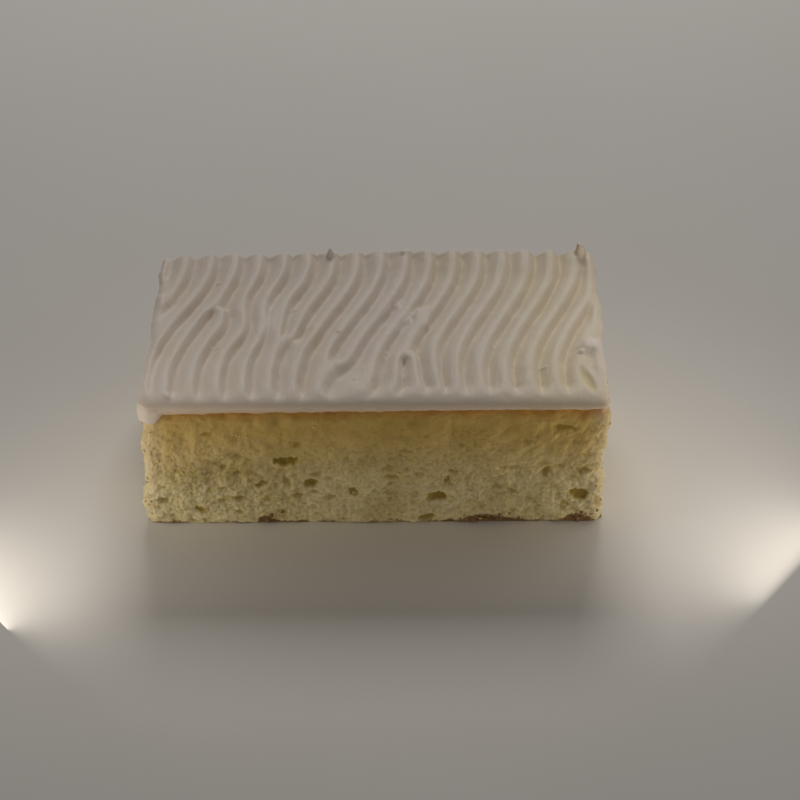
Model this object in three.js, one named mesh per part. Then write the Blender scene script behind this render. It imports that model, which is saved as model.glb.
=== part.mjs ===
// A cut piece of lemon sheet cake: a sponge block with a layer of comb-waved icing on top.
// Millimetres, +Z up. The slice stands on z = 0 with its footprint centred on the origin:
// X runs along the long cut side and -Y is the front, where the comb was drawn out of the icing.
import * as THREE from 'three';

// ---------------------------------------------------------------- driving sizes
const WIDTH = 100; // the icing, along X
const DEPTH = 60; // the icing, along Y
const HEIGHT = 33; // from the base to the comb's ridges
const ICING = 3.35; // icing from its underside to the ridges
const BED = 0.3; // clear space between the sponge and what lies on it
const CORNER = 2.4; // plan radius of the slice's upright corners
const UNEVEN = { height: 0.45, spacing: 4.6, reach: 3.2 }; // the cut edges of the icing
const SWELL = { height: 0.14, spacing: 19 }; // the icing's thickness is a little uneven

const ICING_BASE = HEIGHT - ICING;
const SPONGE_TOP = ICING_BASE - BED;

// ---------------------------------------------------------------- the comb's wavy strokes
const COMB = {
  pitch: 5.57, // from tooth to tooth
  start: -48.35, // the first groove at the front, along X
  sway: 12.5, // how far the stroke swings to +X on its way to the back
  swayFan: 0.9, // the swing grows to +X by this much
  bendFront: -20.1, // Y where the swing begins
  bendFrontFan: 2.6,
  bendBack: 27.5, // Y where the swing is over
  depth: 1.5, // groove depth below the ridges
  crown: 0.5, // share of that depth in the ridge's rounding; the rest is the groove's own
  grooveWidth: 0.14, // half width of the groove, as a share of the pitch
  lean: 0.15, // how far the ridges lean to +X, as a share of the pitch
};

// Where a groove starts (extra: -1) or two run together (extra: +1), on the way to the front.
const FORKS = [
  { x: -35.2, y: 6.6, extra: -1 },
  { x: -19.4, y: -5.0, extra: 1 },
  { x: -8.6, y: -15.2, extra: 1 },
  { x: 7.0, y: -12.0, extra: -1 },
];
const FORK_CORE = 1.1; // the icing is closed over within this radius of a fork

// Where the baker's hand wavered: the grooves are pushed along X round these points.
const WAVERS = [
  { x: -28.4, y: -0.3, reach: 8.0, push: 2.6 },
  { x: -21.6, y: 7.6, reach: 11.4, push: -1.8 },
  { x: -11.1, y: -24.3, reach: 7.2, push: -1.9 },
  { x: 1.4, y: -21.1, reach: 10.8, push: 3.3 },
  { x: 11.2, y: -25.4, reach: 4.0, push: 1.5 },
];

// Patches where the icing was smeared flat again. share is how much of the groove is lost.
const SMEARS = [
  { x: -23.4, y: 1.0, rx: 3.4, ry: 8.5, share: 0.8 },
  { x: -48.5, y: 8.0, rx: 3.2, ry: 8.0, share: 0.9 },
  { x: 48.5, y: -13.0, rx: 3.6, ry: 9.0, share: 1.0 },
  { x: -5.0, y: -24.0, rx: 3.5, ry: 5.0, share: 0.55 },
  { x: 8.5, y: 4.5, rx: 2.8, ry: 2.2, share: 0.7 },
];

// Points of the icing's top: so far along each stroke, and at these shares of each ridge.
const RIDGE_SHARES = [0, 0.12, 0.3, 0.62, 0.78, 0.9];
const STROKE_CELL = 2.35;
const PLAIN_CELL = 2.5;
const TIGHTEST = 0.34; // points of a row are no closer than this
const ROW_SCAN = 0.04; // step of the search for those shares along a row

// Edges of the icing: the plain band that the comb leaves, and the rounding over the edge.
const FRONT_EDGE = { plainFrom: 2.0, plainTo: 8.0, reach: 4.2, fall: 2.0 };
const SIDE_EDGE = { plainFrom: 0.2, plainTo: 3.2, reach: 2.2, fall: 1.7 };
const BACK_EDGE = { plainFrom: -3.0, plainTo: 0.9, reach: 1.2, fall: 0.8 };
const PLAIN_FRONT = { further: 1.6, from: -10, to: 12 }; // on the left the comb ran further out

// Small peaks drawn up where the comb left the back edge.
const PEAKS = [
  { x: -10.7, height: 1.9, radius: 1.5, tail: 2.2 },
  { x: 47.2, height: 1.6, radius: 1.4, tail: 2.2 },
];

// The rim's section from the underside out and up, and what share of a sag each point takes.
const LIP_DROP = 0.35; // how far the rim hangs below the icing's underside everywhere
const RIM_SECTION = [
  { inset: 0.95, rise: 0, dropShare: 0, bulgeShare: 0 },
  { inset: 0.9, rise: 0, dropShare: 1, bulgeShare: 0 },
  { inset: 0.3, rise: 0, dropShare: 0.82, bulgeShare: 1 },
  { inset: 0, rise: 0.55, dropShare: 0.2, bulgeShare: 0.7 },
];

// The places where the rim sags down over the cut sides.
const SAGS = [
  { x: -49.4, y: -29.4, reach: 2.9, drop: 3.7, bulge: 1.1 },
  { x: 49.5, y: -12, reach: 5.5, drop: 1.5, bulge: 0.5 },
  { x: -20, y: 30, reach: 7.0, drop: 1.1, bulge: 0.3 },
  { x: -49.5, y: 14, reach: 6.0, drop: 1.2, bulge: 0.4 },
];

// ---------------------------------------------------------------- the sponge
// How far the front and back cuts stand in from the icing's outline, and how far the two ends
// reach, from the base up.
const SPONGE_SIDES = [
  { z: 0, inset: 0.9, left: 49.6, right: 49.0 },
  { z: 1, inset: 0.4, left: 49.9, right: 49.4 },
  { z: 5.5, inset: 0.3, left: 50.1, right: 49.3 },
  { z: 9, inset: 0.5, left: 50.0, right: 49.4 },
  { z: 13, inset: 0.85, left: 49.8, right: 48.8 },
  { z: 18, inset: 1.05, left: 49.8, right: 49.0 },
  { z: 21, inset: 1.2, left: 49.6, right: 49.4 },
  { z: 25, inset: 1.5, left: 48.6, right: 48.7 },
  { z: SPONGE_TOP, inset: 1.55, left: 48.4, right: 48.45 },
];
const SPONGE_CELL = 2.0; // spacing of the points on the cut sides

// The largest holes on the front cut, at their place on that face.
const FRONT_HOLES = [
  { x: -19.5, z: 16.4, w: 3.8, h: 1.9, d: 1.7 },
  { x: 44.1, z: 7.7, w: 3.8, h: 2.6, d: 1.7 },
  { x: 13.4, z: 7.2, w: 3.4, h: 2.2, d: 1.5 },
  { x: -14.4, z: 10.7, w: 2.9, h: 1.8, d: 1.3 },
  { x: -5.1, z: 8.1, w: 2.9, h: 1.9, d: 1.2 },
  { x: -37.5, z: 4.4, w: 2.8, h: 2.0, d: 1.2 },
  { x: -45.7, z: 6.3, w: 2.8, h: 1.7, d: 1.1 },
  { x: 40.3, z: 24.2, w: 6.5, h: 1.6, d: 0.7 },
  { x: 10.7, z: 1.6, w: 3.4, h: 2.2, d: 1.0 },
  { x: 15.7, z: 11.5, w: 2.4, h: 1.6, d: 1.0 },
  { x: 37.6, z: 12.8, w: 2.4, h: 1.8, d: 1.0 },
];
// The other three cuts have holes of like sizes, more of them low down.
const OTHER_HOLES = { count: 58, smallest: 2.2, largest: 4.0, flatness: 0.66, depth: 0.45, seed: 17 };
const HOLES_FROM = 1.5; // lowest and highest hole centres
const HOLES_TO = 25;
const HOLE_SPREAD = { across: 0.72, up: 0.85 }; // a hole's reach as a share of its size
const CRAGS = { height: 0.55, spacing: 2.9, flatness: 1.3 };

// ---------------------------------------------------------------- small helpers
const clamp01 = (t) => Math.min(1, Math.max(0, t));
const smooth = (from, to, t) => THREE.MathUtils.smoothstep(t, from, to);
const halfW = WIDTH / 2;
const halfD = DEPTH / 2;

/** A repeatable run of numbers from 0 to 1. */
function drawer(seed) {
  let state = seed;
  return () => {
    state = (state * 16807) % 2147483647;
    return state / 2147483647;
  };
}

/** A bell of height 1 round a centre, with its own reach along each axis. */
const bell = (dx, dy, rx, ry = rx) => Math.exp(-((dx / rx) ** 2) - (dy / ry) ** 2);

/** A repeatable random height, 0 to 1, for each corner of a square lattice. */
function latticeHeight(i, j) {
  let bits = (i * 374761393 + j * 668265263) | 0;
  bits = Math.imul(bits ^ (bits >>> 13), 1274126177);
  return ((bits ^ (bits >>> 16)) >>> 0) / 4294967295;
}

/** Uneven lumps between -1 and 1: the lattice's heights with smooth slopes in between. */
function lumps(a, b, spacing) {
  const [i, j] = [Math.floor(a / spacing), Math.floor(b / spacing)];
  const s = smooth(0, 1, a / spacing - i);
  const t = smooth(0, 1, b / spacing - j);
  const low = THREE.MathUtils.lerp(latticeHeight(i, j), latticeHeight(i + 1, j), s);
  const high = THREE.MathUtils.lerp(latticeHeight(i, j + 1), latticeHeight(i + 1, j + 1), s);
  return 2 * THREE.MathUtils.lerp(low, high, t) - 1;
}

/** Even positions from one place to another. */
function evenly(from, to, cell) {
  const steps = Math.round((to - from) / cell);
  return Array.from({ length: steps + 1 }, (_, i) => from + ((to - from) * i) / steps);
}

/** Positions in the rounding of an edge, from the edge inwards. */
const roundingStops = (reach) => [0, 0.16, 0.48, 0.94].map((share) => share * reach);

/** Positions across a length: close together in each edge's rounding, even in between. */
function lines(length, lowReach, highReach, cell) {
  const low = roundingStops(lowReach).map((d) => d - length / 2);
  const high = roundingStops(highReach).map((d) => length / 2 - d).reverse();
  const middle = evenly(low.at(-1) + 0.45 * cell, high[0] - 0.45 * cell, cell);
  return [...low, ...middle, ...high];
}

/** Rounds the footprint's corners: a point of the plain rectangle moves to its place in plan. */
function roundedCorners(x, y) {
  const a = clamp01(1 - (halfW - Math.abs(x)) / CORNER);
  const b = clamp01(1 - (halfD - Math.abs(y)) / CORNER);
  if (a === 0 || b === 0) return [x, y];
  const roundX = halfW - CORNER + CORNER * a * Math.sqrt(1 - (b * b) / 2);
  const roundY = halfD - CORNER + CORNER * b * Math.sqrt(1 - (a * a) / 2);
  return [Math.sign(x) * roundX, Math.sign(y) * roundY];
}

/** The icing's place in plan: rounded corners, and an uneven edge at both ends and the back. */
function footprint(x, y) {
  const [roundX, roundY] = roundedCorners(x, y);
  const nearEnd = clamp01(1 - (halfW - Math.abs(x)) / UNEVEN.reach);
  const nearBack = clamp01(1 - (halfD - y) / UNEVEN.reach);
  const end = UNEVEN.height * nearEnd * lumps(y, 5 * Math.sign(x), UNEVEN.spacing);
  const back = UNEVEN.height * nearBack * lumps(x, 71, UNEVEN.spacing);
  return [roundX + Math.sign(x) * end * (1 - nearBack), roundY + back * (1 - nearEnd)];
}

/**
 * The outline, anticlockwise from the front-left corner: each stop has its place and the way out.
 * It has the front's and the back's own positions along X, and the same along both ends.
 */
function outline(frontXs, backXs, ys, place) {
  const rectangle = [
    ...frontXs.slice(0, -1).map((x) => [x, -halfD]),
    ...ys.slice(0, -1).map((y) => [halfW, y]),
    ...backXs.slice(1).reverse().map((x) => [x, halfD]),
    ...ys.slice(1).reverse().map((y) => [-halfW, y]),
  ];
  const placed = rectangle.map(([x, y]) => place(x, y));
  return placed.map(([x, y], i) => {
    const before = placed.at(i - 1);
    const after = placed[(i + 1) % placed.length];
    const out = new THREE.Vector2(after[1] - before[1], before[0] - after[0]).normalize();
    return { x, y, out, corner: rectangle[i] };
  });
}

/** Joins rings of the same length, from the first up to the last, with faces that point out. */
function wallFaces(rings) {
  const faces = [];
  for (let r = 0; r + 1 < rings.length; r += 1) {
    const [low, high] = [rings[r], rings[r + 1]];
    low.forEach((a, i) => {
      const j = (i + 1) % low.length;
      faces.push([a, low[j], high[j]], [a, high[j], high[i]]);
    });
  }
  return faces;
}

/** Covers a flat ring of points, facing up or down. */
function capFaces(points, ring, up) {
  const flat = ring.map((i) => new THREE.Vector2(points[i][0], points[i][1]));
  const faces = THREE.ShapeUtils.triangulateShape(flat, []).map((f) => f.map((i) => ring[i]));
  return faces.map(([a, b, c]) => (up ? [a, b, c] : [a, c, b]));
}

/** A closed mesh from its points and faces. */
function solidMesh(name, points, faces, material) {
  const geometry = new THREE.BufferGeometry();
  geometry.setAttribute('position', new THREE.Float32BufferAttribute(points.flat(), 3));
  geometry.setIndex(faces.flat());
  geometry.computeVertexNormals();
  const mesh = new THREE.Mesh(geometry, material);
  mesh.name = name;
  return mesh;
}

// ---------------------------------------------------------------- icing
/** How far a stroke has left its place at the front by the time it comes through a point. */
function strokeShift(x, y) {
  const push = WAVERS.reduce((s, w) => s + w.push * bell(x - w.x, y - w.y, w.reach), 0);
  const across = (x - push) / halfW;
  const bendFront = COMB.bendFront + COMB.bendFrontFan * across;
  const swing = COMB.sway + COMB.swayFan * across;
  return push + swing * smooth(bendFront, COMB.bendBack, y);
}

/** Where a point lies among the comb's grooves: a whole number is the bottom of a groove. */
function groovePhase(x, y) {
  const forks = FORKS.map((f) => (f.extra * Math.atan2(x - f.x, y - f.y)) / (2 * Math.PI));
  const strokes = (x - strokeShift(x, y) - COMB.start) / COMB.pitch;
  return forks.reduce((s, f) => s + f, strokes);
}

/** How far the comb's section lies below the ridges' tops at a phase, as a share of its depth. */
function combSection(phase) {
  const wave = Math.cos(2 * Math.PI * phase);
  const leaning = phase + (COMB.lean / 2) * (wave - 1);
  const groove = Math.exp(-(((leaning - Math.round(leaning)) / COMB.grooveWidth) ** 2));
  return groove + COMB.crown * ((1 + wave) / 2 - groove);
}

/** How much of the groove's depth is there, from 0 to 1. */
function combShare(x, y) {
  const further = PLAIN_FRONT.further * (1 - smooth(PLAIN_FRONT.from, PLAIN_FRONT.to, x));
  const front = smooth(FRONT_EDGE.plainFrom, FRONT_EDGE.plainTo, halfD + y + further);
  const back = smooth(BACK_EDGE.plainFrom, BACK_EDGE.plainTo, halfD - y);
  const side = smooth(SIDE_EDGE.plainFrom, SIDE_EDGE.plainTo, halfW - Math.abs(x));
  const smeared = SMEARS.reduce((s, m) => s * (1 - m.share * bell(x - m.x, y - m.y, m.rx, m.ry)), 1);
  const forked = FORKS.reduce((s, f) => s * (1 - bell(x - f.x, y - f.y, FORK_CORE)), 1);
  return front * back * side * smeared * forked;
}

/** How far the surface drops towards an edge, which is rounded like a quarter of an ellipse. */
function edgeDrop(distance, edge) {
  const left = clamp01(1 - distance / edge.reach);
  return edge.fall * (1 - Math.sqrt(1 - left * left));
}

/** Height of the icing's surface. */
function icingTop(x, y) {
  const groove = COMB.depth * combSection(groovePhase(x, y)) * combShare(x, y);
  const drop = Math.max(
    edgeDrop(halfD + y, FRONT_EDGE),
    edgeDrop(halfD - y, BACK_EDGE),
    edgeDrop(halfW - Math.abs(x), SIDE_EDGE),
  );
  const peaks = PEAKS.reduce((s, p) => s + p.height * bell(x - p.x, halfD - y, p.radius, p.tail), 0);
  return HEIGHT - groove - drop + peaks + SWELL.height * lumps(x, y, SWELL.spacing);
}

/** How far the lip hangs down and bulges out at a place of the outline. */
function sagAt(x, y) {
  const share = SAGS.map((s) => bell(x - s.x, y - s.y, s.reach));
  return {
    drop: SAGS.reduce((sum, s, i) => sum + s.drop * share[i], LIP_DROP),
    bulge: SAGS.reduce((sum, s, i) => sum + s.bulge * share[i], 0),
  };
}

/** Positions of a row of the top along X: at the same shares of every ridge that it crosses. */
function rowAcross(y) {
  if (y < -halfD + FRONT_EDGE.plainFrom) {
    return lines(WIDTH, SIDE_EDGE.reach, SIDE_EDGE.reach, PLAIN_CELL);
  }
  const low = roundingStops(SIDE_EDGE.reach).map((d) => d - halfW);
  const high = roundingStops(SIDE_EDGE.reach).map((d) => halfW - d).reverse();
  const row = [...low];
  const share = (x) => groovePhase(x, y) - Math.floor(groovePhase(x, y));
  for (let x = low.at(-1) + TIGHTEST; x < high[0] - TIGHTEST; x += ROW_SCAN) {
    const [here, next] = [share(x), share(x + ROW_SCAN)];
    const passes = RIDGE_SHARES.some((r) => (r === 0 ? next < here - 0.5 : here < r && next >= r));
    if (passes && x - row.at(-1) >= TIGHTEST) row.push(x + ROW_SCAN / 2);
  }
  return [...row, ...high];
}

/**
 * How badly an edge between two points of neighbouring rows would fit: the share of a ridge by
 * which it leaves its stroke, or, towards the ends, how far it is from running straight back.
 */
function edgeMisfit(a, b) {
  const inner = Math.min(a.inner, b.inner);
  const ridges = a.phase - b.phase;
  const offStroke = COMB.pitch * Math.abs(ridges - Math.round(ridges));
  const aside = Math.abs(inner ? a.start - b.start : a.x - b.x);
  return inner * offStroke + (1 - inner) * Math.abs(a.x - b.x) + 0.25 * aside;
}

/** Joins two rows of the top by the set of edges that fits the strokes of the comb best. */
function joinRows(front, back) {
  const least = front.map(() => []);
  front.forEach((a, i) =>
    back.forEach((b, j) => {
      const before = Math.min(least[i - 1]?.[j] ?? Infinity, least[i][j - 1] ?? Infinity);
      least[i][j] = edgeMisfit(a, b) + (i + j === 0 ? 0 : before);
    }),
  );
  const faces = [];
  let [i, j] = [front.length - 1, back.length - 1];
  while (i + j > 0) {
    if (j === 0 || (i > 0 && least[i - 1][j] <= least[i][j - 1])) {
      faces.push([front[i - 1].index, front[i].index, back[j].index]);
      i -= 1;
    } else {
      faces.push([front[i].index, back[j].index, back[j - 1].index]);
      j -= 1;
    }
  }
  return faces;
}

function makeIcing() {
  const ys = lines(DEPTH, FRONT_EDGE.reach, BACK_EDGE.reach, STROKE_CELL);
  const points = [];
  const put = (x, y, z) => points.push([x, y, z]) - 1;
  const rows = ys.map((y) =>
    rowAcross(y).map((x) => {
      const [px, py] = footprint(x, y);
      return {
        x,
        index: put(px, py, icingTop(x, y)),
        phase: groovePhase(x, y),
        start: x - strokeShift(x, y),
        inner: smooth(1, 5, halfW - Math.abs(x)),
      };
    }),
  );
  const faces = rows.slice(1).flatMap((back, r) => joinRows(rows[r], back));

  const [front, back] = [rows[0], rows.at(-1)];
  const rim = [
    ...front.slice(0, -1),
    ...rows.slice(0, -1).map((row) => row.at(-1)),
    ...back.slice(1).reverse(),
    ...rows.slice(1).reverse().map((row) => row[0]),
  ].map((point) => point.index);
  const along = (row) => row.map((point) => point.x);
  const stops = outline(along(front), along(back), ys, footprint);
  const rings = RIM_SECTION.map((section) =>
    stops.map((stop) => {
      const sag = sagAt(stop.x, stop.y);
      const inward = section.inset - section.bulgeShare * sag.bulge;
      const z = ICING_BASE + section.rise - section.dropShare * sag.drop;
      return put(stop.x - stop.out.x * inward, stop.y - stop.out.y * inward, z);
    }),
  );
  faces.push(...wallFaces([...rings, rim]), ...capFaces(points, rings[0], false));

  const material = new THREE.MeshStandardMaterial({ color: '#e9dfcb', roughness: 0.42, metalness: 0 });
  return solidMesh('icing', points, faces, material);
}

// ---------------------------------------------------------------- sponge
/** One of the sponge's side measures at a height: inset, left or right. */
function sideAt(z, measure) {
  const next = Math.max(1, SPONGE_SIDES.findIndex((p) => p.z >= z - 1e-6));
  const [low, high] = [SPONGE_SIDES[next - 1], SPONGE_SIDES[next]];
  return THREE.MathUtils.lerp(low[measure], high[measure], (z - low.z) / (high.z - low.z));
}

/** The sponge's holes: the front's largest where they are seen, and the rest spread by a rule. */
function spongeHoles() {
  const front = FRONT_HOLES.map((h) => ({ s: h.x + halfW, z: h.z, w: h.w, h: h.h, d: h.d }));
  const next = drawer(OTHER_HOLES.seed);
  const around = 2 * (WIDTH + DEPTH);
  const others = [];
  while (others.length < OTHER_HOLES.count) {
    const s = WIDTH + (around - WIDTH) * next();
    const z = THREE.MathUtils.lerp(HOLES_FROM, HOLES_TO, next() ** 1.25);
    const w = THREE.MathUtils.lerp(OTHER_HOLES.smallest, OTHER_HOLES.largest, next() ** 2);
    others.push({ s, z, w, h: w * OTHER_HOLES.flatness, d: w * OTHER_HOLES.depth });
  }
  return [...front, ...others];
}

/** Depth of the holes at a place of the cut side: the far wall of each hole that was cut open. */
function holeDepth(holes, s, z) {
  return holes.reduce((deepest, hole) => {
    const across = (s - hole.s) / (HOLE_SPREAD.across * hole.w);
    const up = (z - hole.z) / (HOLE_SPREAD.up * hole.h);
    return Math.max(deepest, hole.d * (1 - Math.hypot(across, up) ** 3));
  }, 0);
}

function makeSponge() {
  const xs = evenly(-halfW, halfW, SPONGE_CELL);
  const stops = outline(xs, xs, evenly(-halfD, halfD, SPONGE_CELL), roundedCorners);
  const levels = evenly(0, SPONGE_TOP, SPONGE_CELL);
  const holes = spongeHoles();
  const points = [];

  // Each stop's distance along the plain outline, which places the holes.
  let run = 0;
  const distances = stops.map((stop, i) => {
    const [x, y] = stop.corner;
    if (i > 0) run += Math.hypot(x - stops[i - 1].corner[0], y - stops[i - 1].corner[1]);
    return run;
  });

  const rings = levels.map((z, k) =>
    stops.map((stop, i) => {
      const inner = k > 0 && k < levels.length - 1; // the two edges of the cut stay true
      const crag = inner ? CRAGS.height * lumps(distances[i], z * CRAGS.flatness, CRAGS.spacing) : 0;
      const inward = crag + (inner ? holeDepth(holes, distances[i], z) : 0);
      const x = (stop.x * sideAt(z, stop.x < 0 ? 'left' : 'right')) / halfW;
      const y = stop.y - stop.out.y * sideAt(z, 'inset');
      return points.push([x - stop.out.x * inward, y - stop.out.y * inward, z]) - 1;
    }),
  );
  const faces = [
    ...wallFaces(rings),
    ...capFaces(points, rings[0], false),
    ...capFaces(points, rings.at(-1), true),
  ];
  const material = new THREE.MeshStandardMaterial({ color: '#dcc27c', roughness: 0.9, metalness: 0 });
  return solidMesh('sponge', points, faces, material);
}

// ---------------------------------------------------------------- the slice
const slice = new THREE.Group();
slice.name = 'lemon_cake_slice';
slice.add(makeSponge(), makeIcing());

// The footprint is centred on the origin, whatever the sags and crags add to a side.
const box = new THREE.Box3().setFromObject(slice);
const centre = box.getCenter(new THREE.Vector3());
slice.children.forEach((mesh) => mesh.geometry.translate(-centre.x, -centre.y, -box.min.z));

export default slice;
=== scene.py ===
"""A cut piece of lemon sheet cake: butter sponge under a layer of comb-waved lemon icing.

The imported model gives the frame. This script dresses it: the icing and the sponge are modelled
again at the fineness of real icing and real crumb, and crumbs are scattered over the cuts.
Shapes are worked out in millimetres and turned to metres where a mesh is made.
"""

import math
from functools import partial

import bpy
import numpy as np
from mathutils import Matrix, Vector


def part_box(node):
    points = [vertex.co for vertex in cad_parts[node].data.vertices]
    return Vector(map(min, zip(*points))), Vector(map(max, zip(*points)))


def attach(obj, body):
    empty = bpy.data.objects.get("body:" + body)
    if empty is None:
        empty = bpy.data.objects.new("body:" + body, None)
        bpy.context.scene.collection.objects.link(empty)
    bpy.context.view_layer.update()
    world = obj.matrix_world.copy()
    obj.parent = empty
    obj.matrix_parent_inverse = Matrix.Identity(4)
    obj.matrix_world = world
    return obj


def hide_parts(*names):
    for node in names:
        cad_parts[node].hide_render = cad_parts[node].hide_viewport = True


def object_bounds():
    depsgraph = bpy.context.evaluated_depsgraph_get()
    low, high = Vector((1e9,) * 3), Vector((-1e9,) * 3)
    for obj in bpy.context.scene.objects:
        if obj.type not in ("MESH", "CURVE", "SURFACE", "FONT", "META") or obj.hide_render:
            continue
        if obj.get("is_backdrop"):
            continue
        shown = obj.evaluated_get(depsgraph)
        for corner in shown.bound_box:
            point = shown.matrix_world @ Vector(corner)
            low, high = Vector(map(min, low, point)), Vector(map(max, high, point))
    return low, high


bl_info = {
    "name": "Lemon Cake Slice",
    "version": (1, 0, 0),
    "blender": (4, 5, 0),
    "location": "3D View > Sidebar > Cake",
    "description": "Models a comb-iced piece of lemon sheet cake round its packed solids",
    "category": "Add Mesh",
}

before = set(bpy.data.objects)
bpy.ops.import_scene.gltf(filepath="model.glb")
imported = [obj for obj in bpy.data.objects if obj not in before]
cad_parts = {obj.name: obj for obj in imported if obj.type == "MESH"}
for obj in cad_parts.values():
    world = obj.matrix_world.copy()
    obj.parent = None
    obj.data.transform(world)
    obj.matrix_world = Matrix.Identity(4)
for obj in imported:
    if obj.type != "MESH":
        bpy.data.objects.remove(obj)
CAD_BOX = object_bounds()
BODY = "root"
MM = 0.001


def table(names, *rows):
    """Rows of measures, each as a dict by the words in names."""
    return [dict(zip(names.split(), row)) for row in rows]


# ------------------------------------------------------------------ sizes, in millimetres
WIDTH = 100.0  # the icing, along X
DEPTH = 60.0  # the icing, along Y
ICING = 3.35  # thickness up to the comb's ridges
BED = 0.3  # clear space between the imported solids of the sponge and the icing
SPONGE_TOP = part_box("sponge")[1].z / MM
ICING_BASE = SPONGE_TOP + BED
HEIGHT = ICING_BASE + ICING
HALF_W = WIDTH / 2
HALF_D = DEPTH / 2
CORNER = 2.4  # plan radius of the upright corners
SHOULDER = 6.0  # how far in from the outline the top may start to fall away

# Where a groove starts (extra -1) or two run together (extra +1), on the way to the front.
FORKS = table("x y extra", (-35.2, 6.6, -1), (-19.4, -5.0, 1), (-8.6, -15.2, 1), (7.0, -12.0, -1))
FORK_CORE = 1.5  # reach of the closed place in the middle of a fork

# Where the baker's hand wavered: the grooves are pushed along X round these points.
WAVERS = table(
    "x y reach push",
    (-28.4, -0.3, 8.0, 2.6),
    (-21.6, 7.6, 11.4, -1.8),
    (-11.1, -24.3, 7.2, -1.9),
    (1.4, -21.1, 10.8, 3.3),
    (11.2, -25.4, 4.0, 1.5),
)

# Patches where the icing was smeared flat again; share is how much of the groove is lost.
SMEARS = table(
    "x y rx ry share",
    (-23.4, 1.0, 3.4, 8.5, 0.8),
    (-48.5, 8.0, 3.2, 8.0, 0.9),
    (48.5, -13.0, 3.6, 9.0, 1.0),
    (45.5, -21.5, 2.8, 6.0, 0.9),
    (-5.0, -24.0, 3.5, 5.0, 0.55),
    (8.5, 4.5, 2.8, 2.2, 0.7),
    (6.5, -1.0, 4.6, 3.4, 0.35),
    (-19.2, -6.2, 2.2, 2.4, 0.7),
)

# Edges of the icing: where the plain band that the comb leaves ends, how far in the rounding
# starts and how far it falls.
FRONT_EDGE, SIDE_EDGE, BACK_EDGE = table(
    "plain_from plain_to reach fall",
    (2.0, 8.0, 5.6, 2.3),
    (0.2, 3.2, 2.2, 1.7),
    (-3.0, 0.9, 1.2, 0.8),
)
# On the left the comb came nearer to the front edge.
PLAIN_FRONT = {"further": 1.6, "between": (-10.0, 12.0)}

# The icing bulges a little at the back edge, most in the middle, and stands higher there: by
# right more at the right and less at the left, which changes over turn on either side.
BACK_BULGE = {"out": 0.5, "bow": 0.9, "reach": 12.0, "rise": 0.55, "right": 0.5, "turn": 30.0}
RIDGE_ENDS = {"out": 0.45, "reach": 3.0}  # how much further back the ridges end than the grooves
# At the ends it bulges in some places and stands in at another; side is -1 for the left end.
END_BULGES = table(
    "side y reach out",
    (1, 6.0, 9.0, 0.6),
    (1, -19.0, 9.0, -0.6),
    (1, 25.0, 6.0, 1.2),
    (-1, -20.0, 11.0, 0.6),
    (-1, 11.0, 5.0, 0.4),
)

# The rim of the icing below its rounding.
RIM_BELLY = 0.6  # height over the base where the wall starts to turn under
RIM_UNDER = 0.62  # how far the turned-under rim comes in
RIM_HOLD = 2.4  # inset of the underside, which lies a little inside the sponge's top
RIM_SINK = 0.12  # how far the underside lies below the icing's base
RIM_LEAST = 0.15  # the least height of the wall under the rounding
LIP_DROP = 0.35  # how far the lip hangs below the base, apart from waves and sags
RING_RISE = (0.55, 0.2)  # how far the first rings of the wall follow the top's relief
RING_OUT = (1.0, 0.8, 0.4)  # and the ends of the ridges
# The front shoulder and the lip are painted warmer and darker: partly a stain from the baked top that the
# lip touches, partly painted shade and warm light bounced from the sponge.
FRONT_WALL = (-3.0, 1.0)  # distances before the front edge between which the painted shade and stain set in
LIP_SHADE_AND_STAIN = {"top": 0.35, "wall": 0.55, "from": 0.5, "less_on_sags": 0.8}  # a sag, being lit more, gets less of the painted shade than the rest
LEAN = {"rise": 1.05, "between": (-45.0, 45.0)}  # the icing is thinner towards the right
# Where the lip sags over the sponge.
SAGS = table(
    "x y reach drop bulge",
    (-49.2, -28.8, 3.6, 2.5, 0.45),
    (49.5, -12.0, 5.5, 1.5, 0.5),
    (-20.0, 30.0, 7.0, 1.1, 0.3),
    (-49.5, 14.0, 6.0, 1.2, 0.4),
)
SAG_EDGE = (0.55, 1.2)  # between these shares of its reach a sag fades
SAG_SWELL = 0.6  # how much of its bulge the wall over it has

# Peaks that the comb drew up as it left the back edge.
PEAKS = table(
    "x back height radius blunt",
    (-10.7, 0.8, 2.1, 1.0, 0.0),
    (47.7, 1.1, 2.8, 1.1, 0.62),
    (6.3, 0.4, 0.6, 0.7, 0.2),
)
PEAK_FOOT = {"reach": 1.35, "front": 0.75, "power": 1.3}  # in radii; it runs out longer in front
# Torn folds: a ridge that was dragged on and broke off with a blunt front end. slant is how far
# it runs to +X for each millimetre towards the back.
FOLDS = table(
    "x y long wide slant height",
    (10.4, 4.6, 9.4, 2.9, 0.03, -0.05),
    (5.9, 6.6, 10.0, 2.4, -0.17, -0.35),
    (2.2, 9.6, 7.6, 2.6, 0.3, -0.35),
)
FOLD_SIDES = {"rise": (-1.6, -0.5), "fall": (0.7, 1.2)}  # 1 is half the fold's width
FOLD_ENDS = {"rise": (-1.35, -0.75), "fall": (0.1, 1.2)}  # and here half its length
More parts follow.
